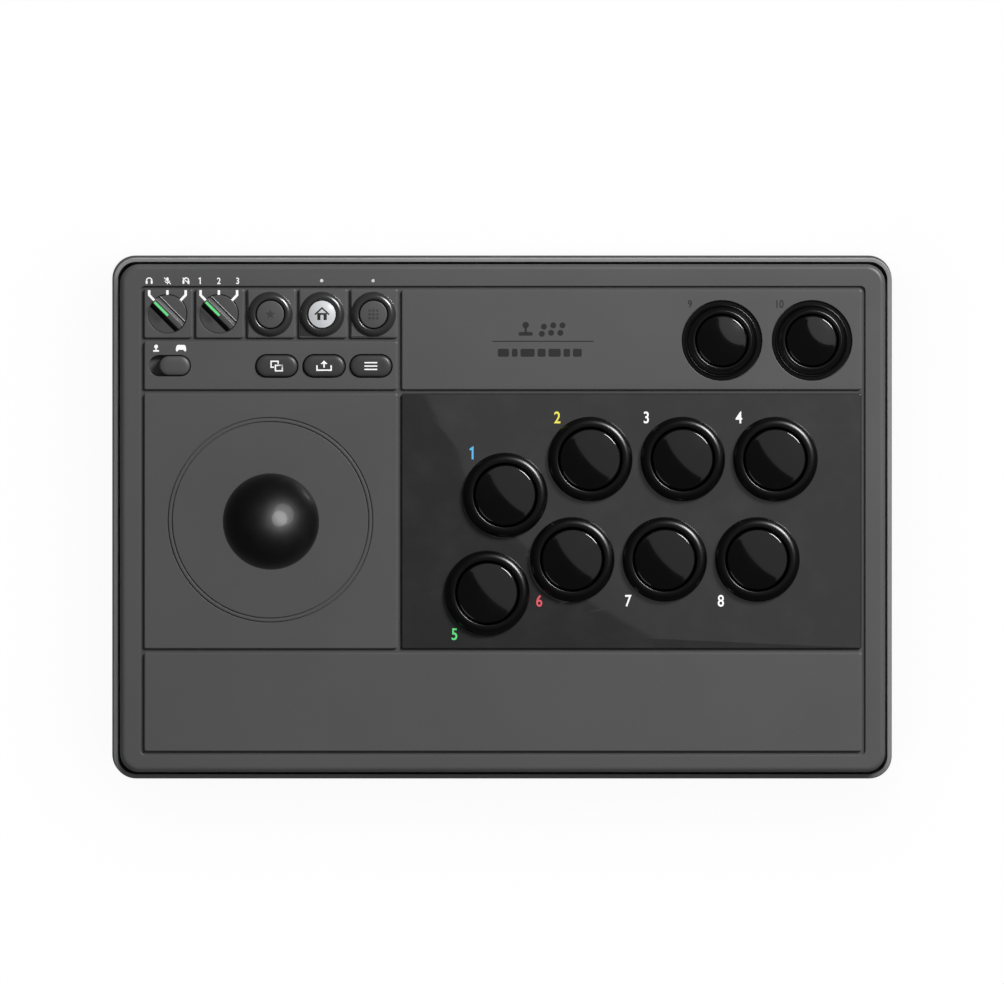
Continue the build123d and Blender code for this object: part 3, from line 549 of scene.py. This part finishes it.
# The two small rims are one solid group in the frame, so both go into one bmesh.
seat = heights("small_button_bodies")[1] - SMALL_RISE
outline = rim_outline(
    "small_button_bodies", SMALL_BORE, SMALL_FLANGE, seat, SMALL_WALL, stepped_shoulder,
)
small_rims = bmesh.new()
for label in small_labels:
    one = lathe(outline, middle(f"plunger_{label}"))
    part = bpy.data.meshes.new("part")
    one.to_mesh(part)
    small_rims.from_mesh(part)
    one.free()
    bpy.data.meshes.remove(part)
    plunger(label)
finished("small_rims", small_rims, RIMS, "case", ["small_button_bodies"])
print("buttons:", len(labels))


# %% [markdown]
# ## The lever
# Only the ball, the sleeve and the dust washer show. The ball is a sphere with a small
# flat below, so it is turned from one long arc.

# %% ball, sleeve and washer
HOLE_R, HOLE_DEPTH = 3.0, 12.0
SLEEVE_BORE, SLEEVE_ROLL = 4.05, 0.4
WASHER_BORE, WASHER_ROLL = 6.6, 0.5

foot, top = heights("ball_top")
ball_r = radius_of("ball_top")
ball_z = top - ball_r
flat = math.degrees(math.asin((ball_z - foot) / ball_r))
outline = [(HOLE_R, foot)] + arc(0, ball_z, ball_r, -flat, 90, 64)
outline += [(0, foot + HOLE_DEPTH), (HOLE_R, foot + HOLE_DEPTH)]
ball = lathe(outline, middle("ball_top"), steps=128)
finished("ball", ball, BALL, "lever", ["ball_top"])

foot, top = heights("shaft_cover")
radius = radius_of("shaft_cover")
corner = radius - SLEEVE_ROLL
outline = [(SLEEVE_BORE, foot), (SLEEVE_BORE, top), (radius - 0.3, top)]
outline += arc(corner, top - SLEEVE_ROLL, SLEEVE_ROLL, 80, 0, 4)
outline += arc(corner, foot + SLEEVE_ROLL, SLEEVE_ROLL, 0, -80, 4)
sleeve = lathe(outline, middle("shaft_cover"))
finished("sleeve", sleeve, LEVER_BLACK, "lever", ["shaft_cover"])

foot, top = heights("dust_washer")
radius = radius_of("dust_washer")
outline = [(WASHER_BORE, foot), (WASHER_BORE, top - 0.2), (WASHER_BORE + 0.2, top)]
outline += arc(radius - WASHER_ROLL, top - WASHER_ROLL, WASHER_ROLL, 90, 0, 5)
outline += [(radius, foot)]
washer = lathe(outline, middle("dust_washer"))
finished("washer", washer, LEVER_BLACK, "dust_cover", ["dust_washer"])
print("ball across:", round(2 * ball_r, 1), "mm")


# %% [markdown]
# ## The case
# Most corners of the imported shells are knife-sharp. A moulded part's never are: each has
# a small radius that catches a line of light. So each shell is copied, its triangles are
# merged into whole faces, and every sharp corner is bevelled. Weighted normals keep the
# large faces flat in the shading. The faceplate and the rubber mat are treated alike.
#
# Some faces then take a second finish, found by their height and place: painted shade on the
# floor of the lid's channel and on the collars and wells round the three round keys, and a
# painted highlight on the top of the tray's lip.

# %% copies with eased corners
CORNER_DEGREES = 28.0
FLAT_DEGREES = 0.3


def eased_copy(name, node, width):
    """Copy a solid of the frame, merge its triangles and round its corners."""
    bm = bmesh.new()
    bm.from_mesh(nodes[node].data)
    bmesh.ops.remove_doubles(bm, verts=bm.verts, dist=0.001 * MM)
    bmesh.ops.dissolve_limit(
        bm, angle_limit=math.radians(FLAT_DEGREES), use_dissolve_boundaries=False,
        verts=bm.verts, edges=bm.edges,
    )
    bmesh.ops.bevel(
        bm, geom=sharp_edges(bm, CORNER_DEGREES), offset=width, offset_type="OFFSET",
        affect="EDGES", segments=2, profile=0.5, clamp_overlap=False, material=-1,
    )
    bmesh.ops.triangulate(bm, faces=[face for face in bm.faces if len(face.verts) > 4])
    piece = finished(name, bm, nodes[node].data.materials[0], body_of[node], [node])
    even = piece.modifiers.new("even_normals", "WEIGHTED_NORMAL")
    even.keep_sharp = True
    even.weight = 100
    return piece


case_pieces = [
    eased_copy("lid", "top_shell", 0.2 * MM),
    eased_copy("tray", "bottom_shell", 0.25 * MM),
    eased_copy("faceplate", "button_faceplate", 0.12 * MM),
    eased_copy("mat", "base_mat", 0.3 * MM),
]
for piece in case_pieces:
    print(piece.name, len(piece.data.polygons), "faces")

# %% painted shade and highlight on the shells
CHANNEL_DEPTH = 1.3 * MM
COLLAR_R, COLLAR_BORE_R = 8.75 * MM, 5.95 * MM
LIP_DEPTH = 0.3 * MM

lid = case_pieces[0].data
lid.materials.append(CHANNEL_SHADE)
lid.materials.append(COLLAR_SHADE)
collars = [middle(f"{label}_key") for label in ("star", "home", "grid")]
for face in lid.polygons:
    at = face.center
    # Painted shade: the floor of the channel takes the darker channel finish.
    if abs(at.z - (FACE - CHANNEL_DEPTH)) < 0.02 * MM and face.normal.z > 0.9:
        face.material_index = 1
    # Painted shade: a collar's top and the whole well inside it take the darker collar finish.
    away = min(math.hypot(at.x - x, at.y - y) for x, y in collars)
    on_collar = away < COLLAR_R and at.z > FACE - 0.06 * MM
    if on_collar or away < COLLAR_BORE_R:
        face.material_index = 2

tray = case_pieces[1].data
tray.materials.append(LIP_HIGHLIGHT)
lip_z = max(vert.co.z for vert in tray.vertices)
# Painted highlight: the top of the tray's lip takes the much lighter finish.
for face in tray.polygons:
    if face.center.z > lip_z - LIP_DEPTH and face.normal.z > 0.2:
        face.material_index = 1


# %% [markdown]
# ## Small round keys
# Two nearly flat keys and one white, domed key stand in moulded collars. They are turned
# too, with a hidden flange that keeps them in the case.

# %% round keys
KEY_R, KEY_ROLL, STEM_R = 5.3, 0.35, 2.5
FLANGE_FOOT, FLANGE_TOP = 47.3, 48.3
KEY_RISE = {"star": 0.25, "grid": 0.25, "home": 0.9}


def round_key(label, material):
    """Turn a round key: dome, rolled edge, skirt, flange and stem."""
    node = f"{label}_key"
    foot, top = heights(node)
    reach, edge, flange = KEY_R - KEY_ROLL, top - KEY_RISE[label], radius_of(node)
    sphere, half = dome(reach, KEY_RISE[label])
    outline = arc(0, top - sphere, sphere, 90, 90 - half, 12)
    outline += arc(reach, edge - KEY_ROLL, KEY_ROLL, 75, 0, 5)
    outline += [(KEY_R, FLANGE_TOP), (flange, FLANGE_TOP), (flange, FLANGE_FOOT)]
    outline += [(STEM_R, FLANGE_FOOT), (STEM_R, foot), (0, foot)]
    key = lathe(outline, middle(node), closed=False)
    return finished(f"key_{label}", key, material, body_of[node], [node])


round_key("star", KEYS)
round_key("grid", KEYS)
round_key("home", LIT)


# %% [markdown]
# ## Pill keys and the slider
# A pill is a circle cut in two and pulled apart. From that outline the flange is extruded,
# the cap is extruded from an inset of it, and a few more insets, each a little higher,
# give the crowned top.

# %% pill keys
RING_SIDES = 64
# Each step of the crowned top: how far inwards, and how much higher.
CROWN = [
    (0.04, 0.28), (0.10, 0.26), (0.20, 0.22), (0.30, 0.16),
    (0.45, 0.13), (0.60, 0.09), (0.70, 0.05), (0.70, 0.02),
]


def stretch(verts, amount):
    """Pull the two halves of a circle apart along X, or push them together."""
    for vert in verts:
        vert.co.x += amount * math.copysign(1.0, vert.co.x)


def lift(bm, verts, height):
    """Move vertices straight up, by a height in millimetres."""
    bmesh.ops.translate(bm, verts=verts, vec=(0, 0, height * MM))


def inset(bm, faces, inward):
    """Inset faces, by a width in millimetres, and give back the vertices they keep."""
    bmesh.ops.inset_region(bm, faces=faces, thickness=inward * MM, use_even_offset=True)
    return list({vert for face in faces for vert in face.verts})


def pill(name, node, material, size, flange):
    """Build a pill-shaped key or slider knob; size and flange are its length and width."""
    top = heights(node)[1]
    bm = bmesh.new()
    ring = bmesh.ops.create_circle(
        bm, cap_ends=True, segments=RING_SIDES, radius=flange[1] / 2 * MM,
    )["verts"]
    # Half a side's turn leaves no vertex on the line where the circle is cut.
    half_side = Matrix.Rotation(math.tau / RING_SIDES / 2, 3, "Z")
    bmesh.ops.rotate(bm, verts=ring, cent=(0, 0, 0), matrix=half_side)
    stretch(ring, (flange[0] - flange[1]) / 2 * MM)
    lift(bm, ring, FLANGE_FOOT)
    lifted, cap = extruded(bm, list(bm.faces))
    lift(bm, lifted, FLANGE_TOP - FLANGE_FOOT)
    spare = ((flange[0] - flange[1]) - (size[0] - size[1])) / 2 * MM
    stretch(inset(bm, cap, (flange[1] - size[1]) / 2), -spare)
    base = cap
    lifted, cap = extruded(bm, base)
    lift(bm, lifted, top - sum(rise for _, rise in CROWN) - FLANGE_TOP)
    bmesh.ops.delete(bm, geom=base, context="FACES")
    for inward, rise in CROWN:
        lift(bm, inset(bm, cap, inward), rise)
    bmesh.ops.translate(bm, verts=bm.verts, vec=(*middle(node), 0))
    return finished(name, bm, material, body_of[node], [node], crease=50.0)


for label in ("view", "share", "menu"):
    pill(f"key_{label}", f"{label}_key", PILLS, (16.0, 8.3), (17.6, 9.9))
pill("slider", "mode_slider", KEYS, (12.0, 7.5), (23.0, 10.8))
print("pill keys and slider done")


# %% [markdown]
# ## Turn selectors
# A selector is a disc, almost flush, with a grip bar across it. The bar's flanks are hollowed.
# The flank that faces away from the light at rest, and the foot of both, take a nearly black
# finish of painted shade.

# %% selector knobs
KNOB_R, KNOB_PROUD, KNOB_ROLL, KNOB_STEM_R = 7.4, 0.1, 0.25, 3.0
BAR_HALF, BAR_TOP_HALF = 3.2, 1.15
BAR_TURN = math.radians(45)
HOLLOW_STEPS, HOLLOW_POWER = 10, 2.3


def grip_section(foot, top):
    """Half-width and height across the grip bar, from one foot to the other."""
    right = []
    for i in range(HOLLOW_STEPS + 1):
        t = i / HOLLOW_STEPS
        rise = (top - 0.18 - foot) * t ** HOLLOW_POWER
        right.append((BAR_HALF - (BAR_HALF - BAR_TOP_HALF) * t, foot + rise))
    right += [(BAR_TOP_HALF - 0.06, top - 0.06), (BAR_TOP_HALF - 0.2, top)]
    return right + [(-u, z) for u, z in reversed(right)]


def knob(name, node):
    """Disc, flange and hollow-flanked grip bar of one selector."""
    foot, top = heights(node)
    level, flange = FACE / MM + KNOB_PROUD, radius_of(node)
    outline = [(0, level)] + arc(KNOB_R - KNOB_ROLL, level - KNOB_ROLL, KNOB_ROLL, 90, 0, 4)
    outline += [(KNOB_R, FLANGE_TOP), (flange, FLANGE_TOP), (flange, FLANGE_FOOT)]
    outline += [(KNOB_STEM_R, FLANGE_FOOT), (KNOB_STEM_R, foot), (0, foot)]
    bm = lathe(outline, (0, 0), closed=False)
    near = [bm.verts.new((u * MM, 0, z * MM)) for u, z in grip_section(level - 0.02, top)]
    far, _ = extruded(bm, [bm.faces.new(near)])
    for side, verts in ((-1, near), (1, far)):
        for vert in verts:
            vert.co.y = side * math.sqrt((KNOB_R * MM) ** 2 - vert.co.x ** 2)
    turn = Matrix.Rotation(BAR_TURN, 3, "Z")
    bmesh.ops.rotate(bm, verts=bm.verts, cent=(0, 0, 0), matrix=turn)
    bmesh.ops.translate(bm, verts=bm.verts, vec=(*middle(node), 0))
    piece = finished(name, bm, KNOBS, body_of[node], [node], crease=24.0)
    piece.data.materials.append(SHADE)
    # Painted shade: the flank turned from the light at rest, and the foot of both flanks.
    for face in piece.data.polygons:
        on_flank = face.center.z > FACE + 0.12 * MM and 0.05 < face.normal.z < 0.93
        turned_away = face.normal.x + face.normal.y < 0
        low_down = face.center.z < FACE + 1.0 * MM
        if on_flank and (turned_away or low_down):
            face.material_index = 1
    return piece


knob("knob_audio", "audio_knob")
knob("knob_stick_mode", "stick_mode_knob")


# %% [markdown]
# ## Printed marks
# Ink stands a few hundredths of a millimetre proud of the plastic. Each mark is a flat
# outline given that thickness. Lines are ribbons with mitred corners, and the numbers
# come from Blender's own font, turned into a mesh and narrowed. The figures in a mark are
# its drawing: millimetres from the mark's own middle.

# %% helpers for print
PRINT_T = 0.03
FONT_BOLD = 0.012
# Ink on a dome is cut into small cells first, so that it can bend.
DRAPE_CELL, DRAPE_CUTS = 0.4, 7


class Print:
    """Collects flat shapes, in millimetres, into one thin piece of ink."""

    def __init__(self, x=0.0, y=0.0, z=None):
        self.bm = bmesh.new()
        self.x, self.y = x, y
        self.z = FACE / MM if z is None else z

    def patch(self, points):
        """A closed outline, counter-clockwise, given the ink's thickness."""
        places = [((self.x + u) * MM, (self.y + v) * MM, self.z * MM) for u, v in points]
        face = self.bm.faces.new([self.bm.verts.new(place) for place in places])
        lift(self.bm, extruded(self.bm, [face])[0], PRINT_T)
        return self

    def line(self, points, width):
        """A ribbon along straight runs, with mitred corners."""
        left, right = [], []
        for i, (u, v) in enumerate(points):
            before = points[max(i - 1, 0)]
            after = points[min(i + 1, len(points) - 1)]
            first = Vector((u - before[0], v - before[1]))
            last = Vector((after[0] - u, after[1] - v))
            if first.length == 0:
                first = last
            if last.length == 0:
                last = first
            first.normalize()
            last.normalize()
            across = Vector((-first.y - last.y, first.x + last.x)).normalized()
            reach = width / 2 / max(across.dot(Vector((-first.y, first.x))), 0.35)
            left.append((u + across.x * reach, v + across.y * reach))
            right.append((u - across.x * reach, v - across.y * reach))
        return self.patch(right + left[::-1])

    def dot(self, u, v, radius, steps=20):
        """A round spot."""
        return self.patch(arc(u, v, radius, 0, 360 - 360 / steps, steps - 1))

    def bar(self, u0, v0, u1, v1, corner=0.0):
        """An upright rectangle, its corners rounded."""
        if not corner:
            return self.patch([(u0, v0), (u1, v0), (u1, v1), (u0, v1)])
        left, right, low, high = u0 + corner, u1 - corner, v0 + corner, v1 - corner
        points = []
        for i, (u, v) in enumerate([(right, high), (left, high), (left, low), (right, low)]):
            points += arc(u, v, corner, 90 * i, 90 * i + 90, 4)
        return self.patch(points)

    def frame(self, u0, v0, u1, v1, width):
        """A square outline, as four bars that meet in mitres."""
        corners = [(u0, v0), (u1, v0), (u1, v1), (u0, v1)]
        left, right, low, high = u0 + width, u1 - width, v0 + width, v1 - width
        inner = [(left, low), (right, low), (right, high), (left, high)]
        for i in range(4):
            j = (i + 1) % 4
            self.patch([corners[i], corners[j], inner[j], inner[i]])
        return self

    def drape(self, height):
        """Lay the ink on a curved top, where height gives the surface at a radius."""
        for normal in ((1, 0, 0), (0, 1, 0)):
            for i in range(-DRAPE_CUTS, DRAPE_CUTS + 1):
                everything = [*self.bm.verts, *self.bm.edges, *self.bm.faces]
                cut = ((self.x + i * DRAPE_CELL) * MM, (self.y + i * DRAPE_CELL) * MM, 0)
                bmesh.ops.bisect_plane(
                    self.bm, geom=everything, dist=1e-7, plane_co=cut, plane_no=normal,
                )
        for vert in self.bm.verts:
            r = math.hypot(vert.co.x / MM - self.x, vert.co.y / MM - self.y)
            vert.co.z += (height(r) - self.z) * MM
        return self

    def done(self, name, colour, body):
        """Finish the ink as one piece on a body."""
        return finished(name, self.bm, INK[colour], body, crease=40.0)


def number(name, text, at, height, colour, narrow=0.82):
    """A printed number: text made a mesh, then scaled and placed."""
    # The font's 1 stands on a foot. This one is a plain stroke with a flag.
    if text == "1":
        stem = Print(*at)
        half = height / 2
        stroke = height * 0.16
        stem.line([(-height * 0.22, half * 0.62), (0.06, half - 0.12), (0.06, -half)], stroke)
        return stem.done(name, colour, "case")
    curve = bpy.data.curves.new(name, "FONT")
    curve.body = text
    curve.align_x = "CENTER"
    curve.align_y = "CENTER"
    curve.offset = FONT_BOLD
    curve.extrude = 0.5
    holder = bpy.data.objects.new(name, curve)
    bpy.context.scene.collection.objects.link(holder)
    graph = bpy.context.evaluated_depsgraph_get()
    mesh = bpy.data.meshes.new_from_object(holder.evaluated_get(graph))
    bpy.data.objects.remove(holder)
    bpy.data.curves.remove(curve)
    bm = bmesh.new()
    bm.from_mesh(mesh)
    bpy.data.meshes.remove(mesh)
    xs = [vert.co.x for vert in bm.verts]
    ys = [vert.co.y for vert in bm.verts]
    scale = height * MM / (max(ys) - min(ys))
    centred = (-(max(xs) + min(xs)) / 2, -(max(ys) + min(ys)) / 2, 0.5)
    bmesh.ops.translate(bm, verts=bm.verts, vec=centred)
    bmesh.ops.scale(bm, verts=bm.verts, vec=(scale * narrow, scale, PRINT_T * MM))
    bmesh.ops.translate(bm, verts=bm.verts, vec=(at[0] * MM, at[1] * MM, FACE))
    return finished(name, bm, INK[colour], "case", crease=40.0)


# %% numbers beside the buttons
NUMBER_COLOURS = [
    "blue", "yellow", "white", "white", "green", "red", "white", "white", "dark", "dark",
]
for label, colour in zip(labels, NUMBER_COLOURS):
    x, y = middle_mm(f"plunger_{label}")
    if label in small_labels:
        aside, along, height = -12.4, 14.2, 3.1
    else:
        # The right-hand columns' numbers stand farther out, the upper row's above.
        aside = -14.2 if label in "3478" else -12.8
        along = 16.2 if label in "1234" else -16.1
        height = 4.6
    number(f"number_{label}", label, (x + aside, y + along), height, colour)


# %% ticks and marks round the selectors
MARK_Y, MARK_STEP = 92.3, 7.3
TICK_TOP, TICK_WIDTH = 88.7, 0.95
STRIPE_ENDS, STRIPE_ASIDE, STRIPE_WIDTH = (6.9, -0.5), 0.25, 0.9
SLANT = math.sqrt(0.5)


def on_top(node):
    """Start a mark in the middle of a solid's top."""
    return Print(*middle_mm(node), heights(node)[1])


for label in ("audio", "stick_mode"):
    node = f"{label}_knob"
    ticks = Print(middle_mm(node)[0], 0)
    ticks.line([(0, TICK_TOP), (0, 86.9)], TICK_WIDTH)
    for side in (-1, 1):
        bent = [(side * 7.1, TICK_TOP), (side * 7.1, 86.8), (side * 5.1, 84.7)]
        ticks.line(bent, TICK_WIDTH)
    ticks.done(f"ticks_{label}", "white", "case")
    ends = [
        ((-end - STRIPE_ASIDE) * SLANT, (end - STRIPE_ASIDE) * SLANT) for end in STRIPE_ENDS
    ]
    on_top(node).line(ends, STRIPE_WIDTH).done(f"stripe_{label}", "green", body_of[node])

x = middle_mm("stick_mode_knob")[0]
for i, text in enumerate("123"):
    at = (x + (i - 1) * MARK_STEP, MARK_Y)
    number(f"mode_{text}", text, at, 2.5, "white", narrow=0.9)


def headphones(marks, u):
    """A head band and two ear cups."""
    marks.line(arc(u, 0.1, 1.05, 200, -20, 12), 0.42)
    marks.bar(u - 1.35, -1.15, u - 0.6, 0.1, 0.2)
    marks.bar(u + 0.6, -1.15, u + 1.35, 0.1, 0.2)


marks = Print(middle_mm("audio_knob")[0], MARK_Y)
headphones(marks, -7.1)
headphones(marks, 7.2)
marks.bar(-0.5, -0.2, 0.5, 1.35, 0.45)
marks.line(arc(0, 0.25, 0.95, 190, 350, 8), 0.3)
marks.bar(-0.15, -1.35, 0.15, -0.7)
for u in (0, 7.2):
    marks.line([(u - 1.3, 1.25), (u + 1.3, -1.25)], 0.32)
marks.done("marks_audio", "white", "case")

# %% marks above the slider
SLIDER_MARK_Y = 66.1
marks = Print(-134.8, SLIDER_MARK_Y)
marks.dot(0, 0.65, 0.75)
marks.bar(-0.25, -0.75, 0.25, 0.1)
marks.bar(-1.15, -1.35, 1.15, -0.7, 0.25)
marks.done("mark_lever", "white", "case")
pad = [(-1.3, 1.3), (-1.75, 0.9), (-2.0, -0.2), (-2.0, -1.0), (-1.5, -1.3), (-0.9, -0.6)]
marks = Print(-125.1, SLIDER_MARK_Y)
marks.patch(pad + [(-u, v) for u, v in reversed(pad)])
marks.done("mark_pad", "white", "case")


# %% marks on the keys
marks = on_top("view_key")
marks.line([(-1.0, -0.45), (-2.2, -0.45), (-2.2, 1.85), (0.55, 1.85), (0.55, 0.85)], 0.5)
marks.frame(-0.75, -2.1, 2.4, 0.55, 0.5)
marks.done("mark_view", "white", "view")

marks = on_top("share_key")
marks.line([(-2.75, 0.3), (-2.75, -1.6), (2.75, -1.6), (2.75, 0.3)], 0.55)
marks.line([(0, -0.6), (0, 1.2)], 0.55)
marks.patch([(-1.35, 0.8), (1.35, 0.8), (0, 2.15)])
marks.done("mark_share", "white", "share")

marks = on_top("menu_key")
for v in (-1.3, 0.0, 1.3):
    marks.bar(-2.5, v - 0.25, 2.5, v + 0.25)
marks.done("mark_menu", "white", "menu")


def key_top(label):
    """The height of a round key's top, as a function of the radius."""
    top = heights(f"{label}_key")[1]
    sphere, _ = dome(KEY_R - KEY_ROLL, KEY_RISE[label])
    return lambda r: top - sphere + math.sqrt(sphere ** 2 - r ** 2)


STAR_RADII = (2.1, 0.85)
star = []
for i in range(10):
    angle = math.radians(90 + 36 * i)
    star.append((math.cos(angle) * STAR_RADII[i % 2], math.sin(angle) * STAR_RADII[i % 2]))
# Painted shade: the star and the grid dots are darker ink in place of shaded engravings.
marks = Print(*middle_mm("star_key"))
marks.patch(star)
marks.drape(key_top("star")).done("mark_star", "engraving_shade", "star")

marks = Print(*middle_mm("grid_key"))
for u in (-1.5, 0.0, 1.5):
    for v in (-1.5, 0.0, 1.5):
        marks.dot(u, v, 0.52, 12)
marks.drape(key_top("grid")).done("mark_grid", "engraving_shade", "grid")

marks = Print(*middle_mm("home_key"))
marks.line([(-2.75, -0.1), (-1.35, 1.25), (0, 2.5), (1.35, 1.25), (2.75, -0.1)], 0.62)
for side in ((-1.85, -2.2, -0.62, -0.2), (0.62, -2.2, 1.85, -0.2), (-1.85, -0.2, 1.85, 0.55)):
    marks.bar(*side)
marks.drape(key_top("home")).done("mark_home", "dark", "home")

# %% the pictogram and the plain bars above the buttons
marks = Print(15.8, 73.6)
marks.dot(-6.9, 1.5, 1.25, 28)
marks.bar(-7.3, -1.3, -6.5, 0.4)
marks.bar(-9.6, -2.6, -4.2, -1.2, 0.5)
for u, v in ((0.2, 0.9), (3.8, 1.4), (7.4, 1.4), (-0.6, -1.9), (3.0, -1.5), (6.6, -1.5)):
    marks.dot(u, v, 1.15, 28)
marks.done("mark_panel", "dark", "case")
marks = Print(15.7, 68.8)
marks.bar(-19.7, -0.2, 19.7, 0.2)
u = -17.6
for length in (5.2, 3.1, 6.4, 4.0, 5.6, 3.4, 4.3):
    marks.bar(u, -6.0, u + length - 0.9, -2.9, 0.6)
    u += length + 0.25
marks.done("mark_bars", "dark", "case")
print("printed marks done")


# %% [markdown]
# ## The studio
# Black gloss shows only what it mirrors, so the light is built in layers. A dim, even sky
# gives the case its tone and stays out of the reflections. One strong panel, upper right,
# draws the bright edges. It leaves out the tray, which has two panels of its own: a weaker
# one in the same place and one behind, so that its lip shows beside the lid. The ball, the
# lever and the selectors cast no shadow from these three.
#
# Large discs that only some named, glossy skins may mirror lay a curve of sheen on the
# buttons, the faceplate and the ball. The world is dim as a light and pale to the camera,
# so the ground stays light up to its edge. All of this belongs to the studio: under other
# lights the same finishes look plainer and darker.

# %% floor
FLOOR_HALF, FLOOR_DROP = 12.0, 0.0002
scene = bpy.context.scene
bm = bmesh.new()
bmesh.ops.create_grid(bm, x_segments=1, y_segments=1, size=FLOOR_HALF)
floor_mesh = bpy.data.meshes.new("floor")
bm.to_mesh(floor_mesh)
bm.free()
floor = bpy.data.objects.new("floor", floor_mesh)
scene.collection.objects.link(floor)
# Just below the mat, or the two would flicker where they meet.
floor.location.z = -FLOOR_DROP
floor.visible_glossy = False
PAPER = Finish("paper", (0.6, 0.6, 0.6), 0.9, Emission_Color=(1, 1, 1, 1), Emission_Strength=0.88)
floor_mesh.materials.append(PAPER.material)


# %% light panels
def softbox(name, place, aim, size, radiance, only=(), without=(), sheen=False):
    """A round light panel, which may be kept to some pieces, and may be for gloss alone."""
    # An evenly bright disc gives off pi times its area times its radiance, in watts.
    light = bpy.data.lights.new(name, "AREA")
    light.shape = "DISK"
    light.size = size
    light.energy = radiance * math.pi * math.pi * size ** 2 / 4
    panel = bpy.data.objects.new(name, light)
    scene.collection.objects.link(panel)
    panel.location = place
    panel.rotation_euler = (Vector(aim) - Vector(place)).to_track_quat("-Z", "Y").to_euler()
    panel.visible_camera = False
    if sheen:
        panel.visible_diffuse = False
    if only or without:
        group = bpy.data.collections.new(name)
        for piece in only or without:
            group.objects.link(bpy.data.objects[piece])
        if without:
            for entry in group.collection_objects:
                entry.light_linking.link_state = "EXCLUDE"
        panel.light_linking.receiver_collection = group
    return panel


WORLD_LIGHT, WORLD_SEEN = 0.04, 0.93
world = bpy.data.worlds.new("studio")
scene.world = world
world.use_nodes = True
tree = world.node_tree
dim, pale = tree.nodes["Background"], tree.nodes.new("ShaderNodeBackground")
for background, strength in ((dim, WORLD_LIGHT), (pale, WORLD_SEEN)):
    background.inputs["Color"].default_value = (1, 1, 1, 1)
    background.inputs["Strength"].default_value = strength
seen = tree.nodes.new("ShaderNodeMixShader")
path = tree.nodes.new("ShaderNodeLightPath")
tree.links.new(path.outputs["Is Camera Ray"], seen.inputs["Fac"])
tree.links.new(dim.outputs["Background"], seen.inputs[1])
tree.links.new(pale.outputs["Background"], seen.inputs[2])
tree.links.new(seen.outputs["Shader"], tree.nodes["World Output"].inputs["Surface"])

sky = softbox("sky", (0, 0, 2.5), (0, 0, 0), 5.0, 0.32)
sky.visible_glossy = False
KEY_PLACE, BACK_PLACE = (0.75, 0.75, 1.1), (0.06, 1.06, 1.1)
CASE_MIDDLE, KEY_SIZE = (0, 0, 0.05), 0.55
not_keyed = ["ball", "floor", "tray"]
key = softbox("key", KEY_PLACE, CASE_MIDDLE, KEY_SIZE, 34.0, without=not_keyed)
key_tray = softbox("key_tray", KEY_PLACE, CASE_MIDDLE, KEY_SIZE, 17.0, only=["tray"])
back_tray = softbox("back_tray", BACK_PLACE, CASE_MIDDLE, KEY_SIZE, 20.0, only=["tray"])

shadowless = ["ball", "sleeve", "washer", "knob_audio", "knob_stick_mode"]
shadowless += [nodes[name].name for name, body in body_of.items() if body == "lever"]
no_shadow = bpy.data.collections.new("no_shadow")
for piece in shadowless:
    no_shadow.objects.link(bpy.data.objects[piece])
for entry in no_shadow.collection_objects:
    entry.light_linking.link_state = "EXCLUDE"
for panel in (key, key_tray, back_tray):
    panel.light_linking.blocker_collection = no_shadow

# %% discs for the glossy skins
big_caps = [f"cap_{label}" for label in big_labels]
small_caps = [f"cap_{label}" for label in small_labels]
edges = big_caps + small_caps + ["small_rims"]
BALL_MIDDLE = (-0.09, 0, 0.09)
for name, place, aim, size, radiance, skins in (
    ("sheen_caps", (2.72, 2.36, 3.0), (2.72, 2.36, 0), 7.4, 0.42, big_caps),
    ("sheen_small", (0.66, 0.58, 1.25), (0.66, 0.58, 0), 1.3, 0.7, small_caps),
    ("sheen_plate", (0.150, 0.100, 1.25), (0.150, 0.100, 0), 0.366, 0.46, ["faceplate"]),
    ("sheen_ball", (0.25, 0.13, 1.02), BALL_MIDDLE, 0.66, 13.0, ["ball"]),
    ("glow_ball", (0.42, 0.31, 0.90), BALL_MIDDLE, 0.90, 6.0, ["ball"]),
    ("sheen_edges", (-2.0, -2.0, 1.6), CASE_MIDDLE, 2.0, 1.1, edges),
):
    softbox(name, place, aim, size, radiance, only=skins, sheen=True)
print("light panels:", len(bpy.data.lights))

# %% camera
VIEW_WIDTH = 1.004 / 2.572
TILT_X, TILT_Y, CAMERA_AWAY = math.radians(-0.8), math.radians(-0.4), 3.2
VIEW_MIDDLE = Vector((-0.0003, 0.0102, FACE))
camera_data = bpy.data.cameras.new("camera")
camera_data.type = "ORTHO"
camera_data.ortho_scale = VIEW_WIDTH
camera = bpy.data.objects.new("camera", camera_data)
scene.collection.objects.link(camera)
tilt = Matrix.Rotation(TILT_X, 4, "X") @ Matrix.Rotation(TILT_Y, 4, "Y")
away = Matrix.Translation((0, 0, CAMERA_AWAY))
camera.matrix_world = Matrix.Translation(VIEW_MIDDLE) @ tilt @ away
scene.camera = camera
scene.view_settings.view_transform = "Standard"
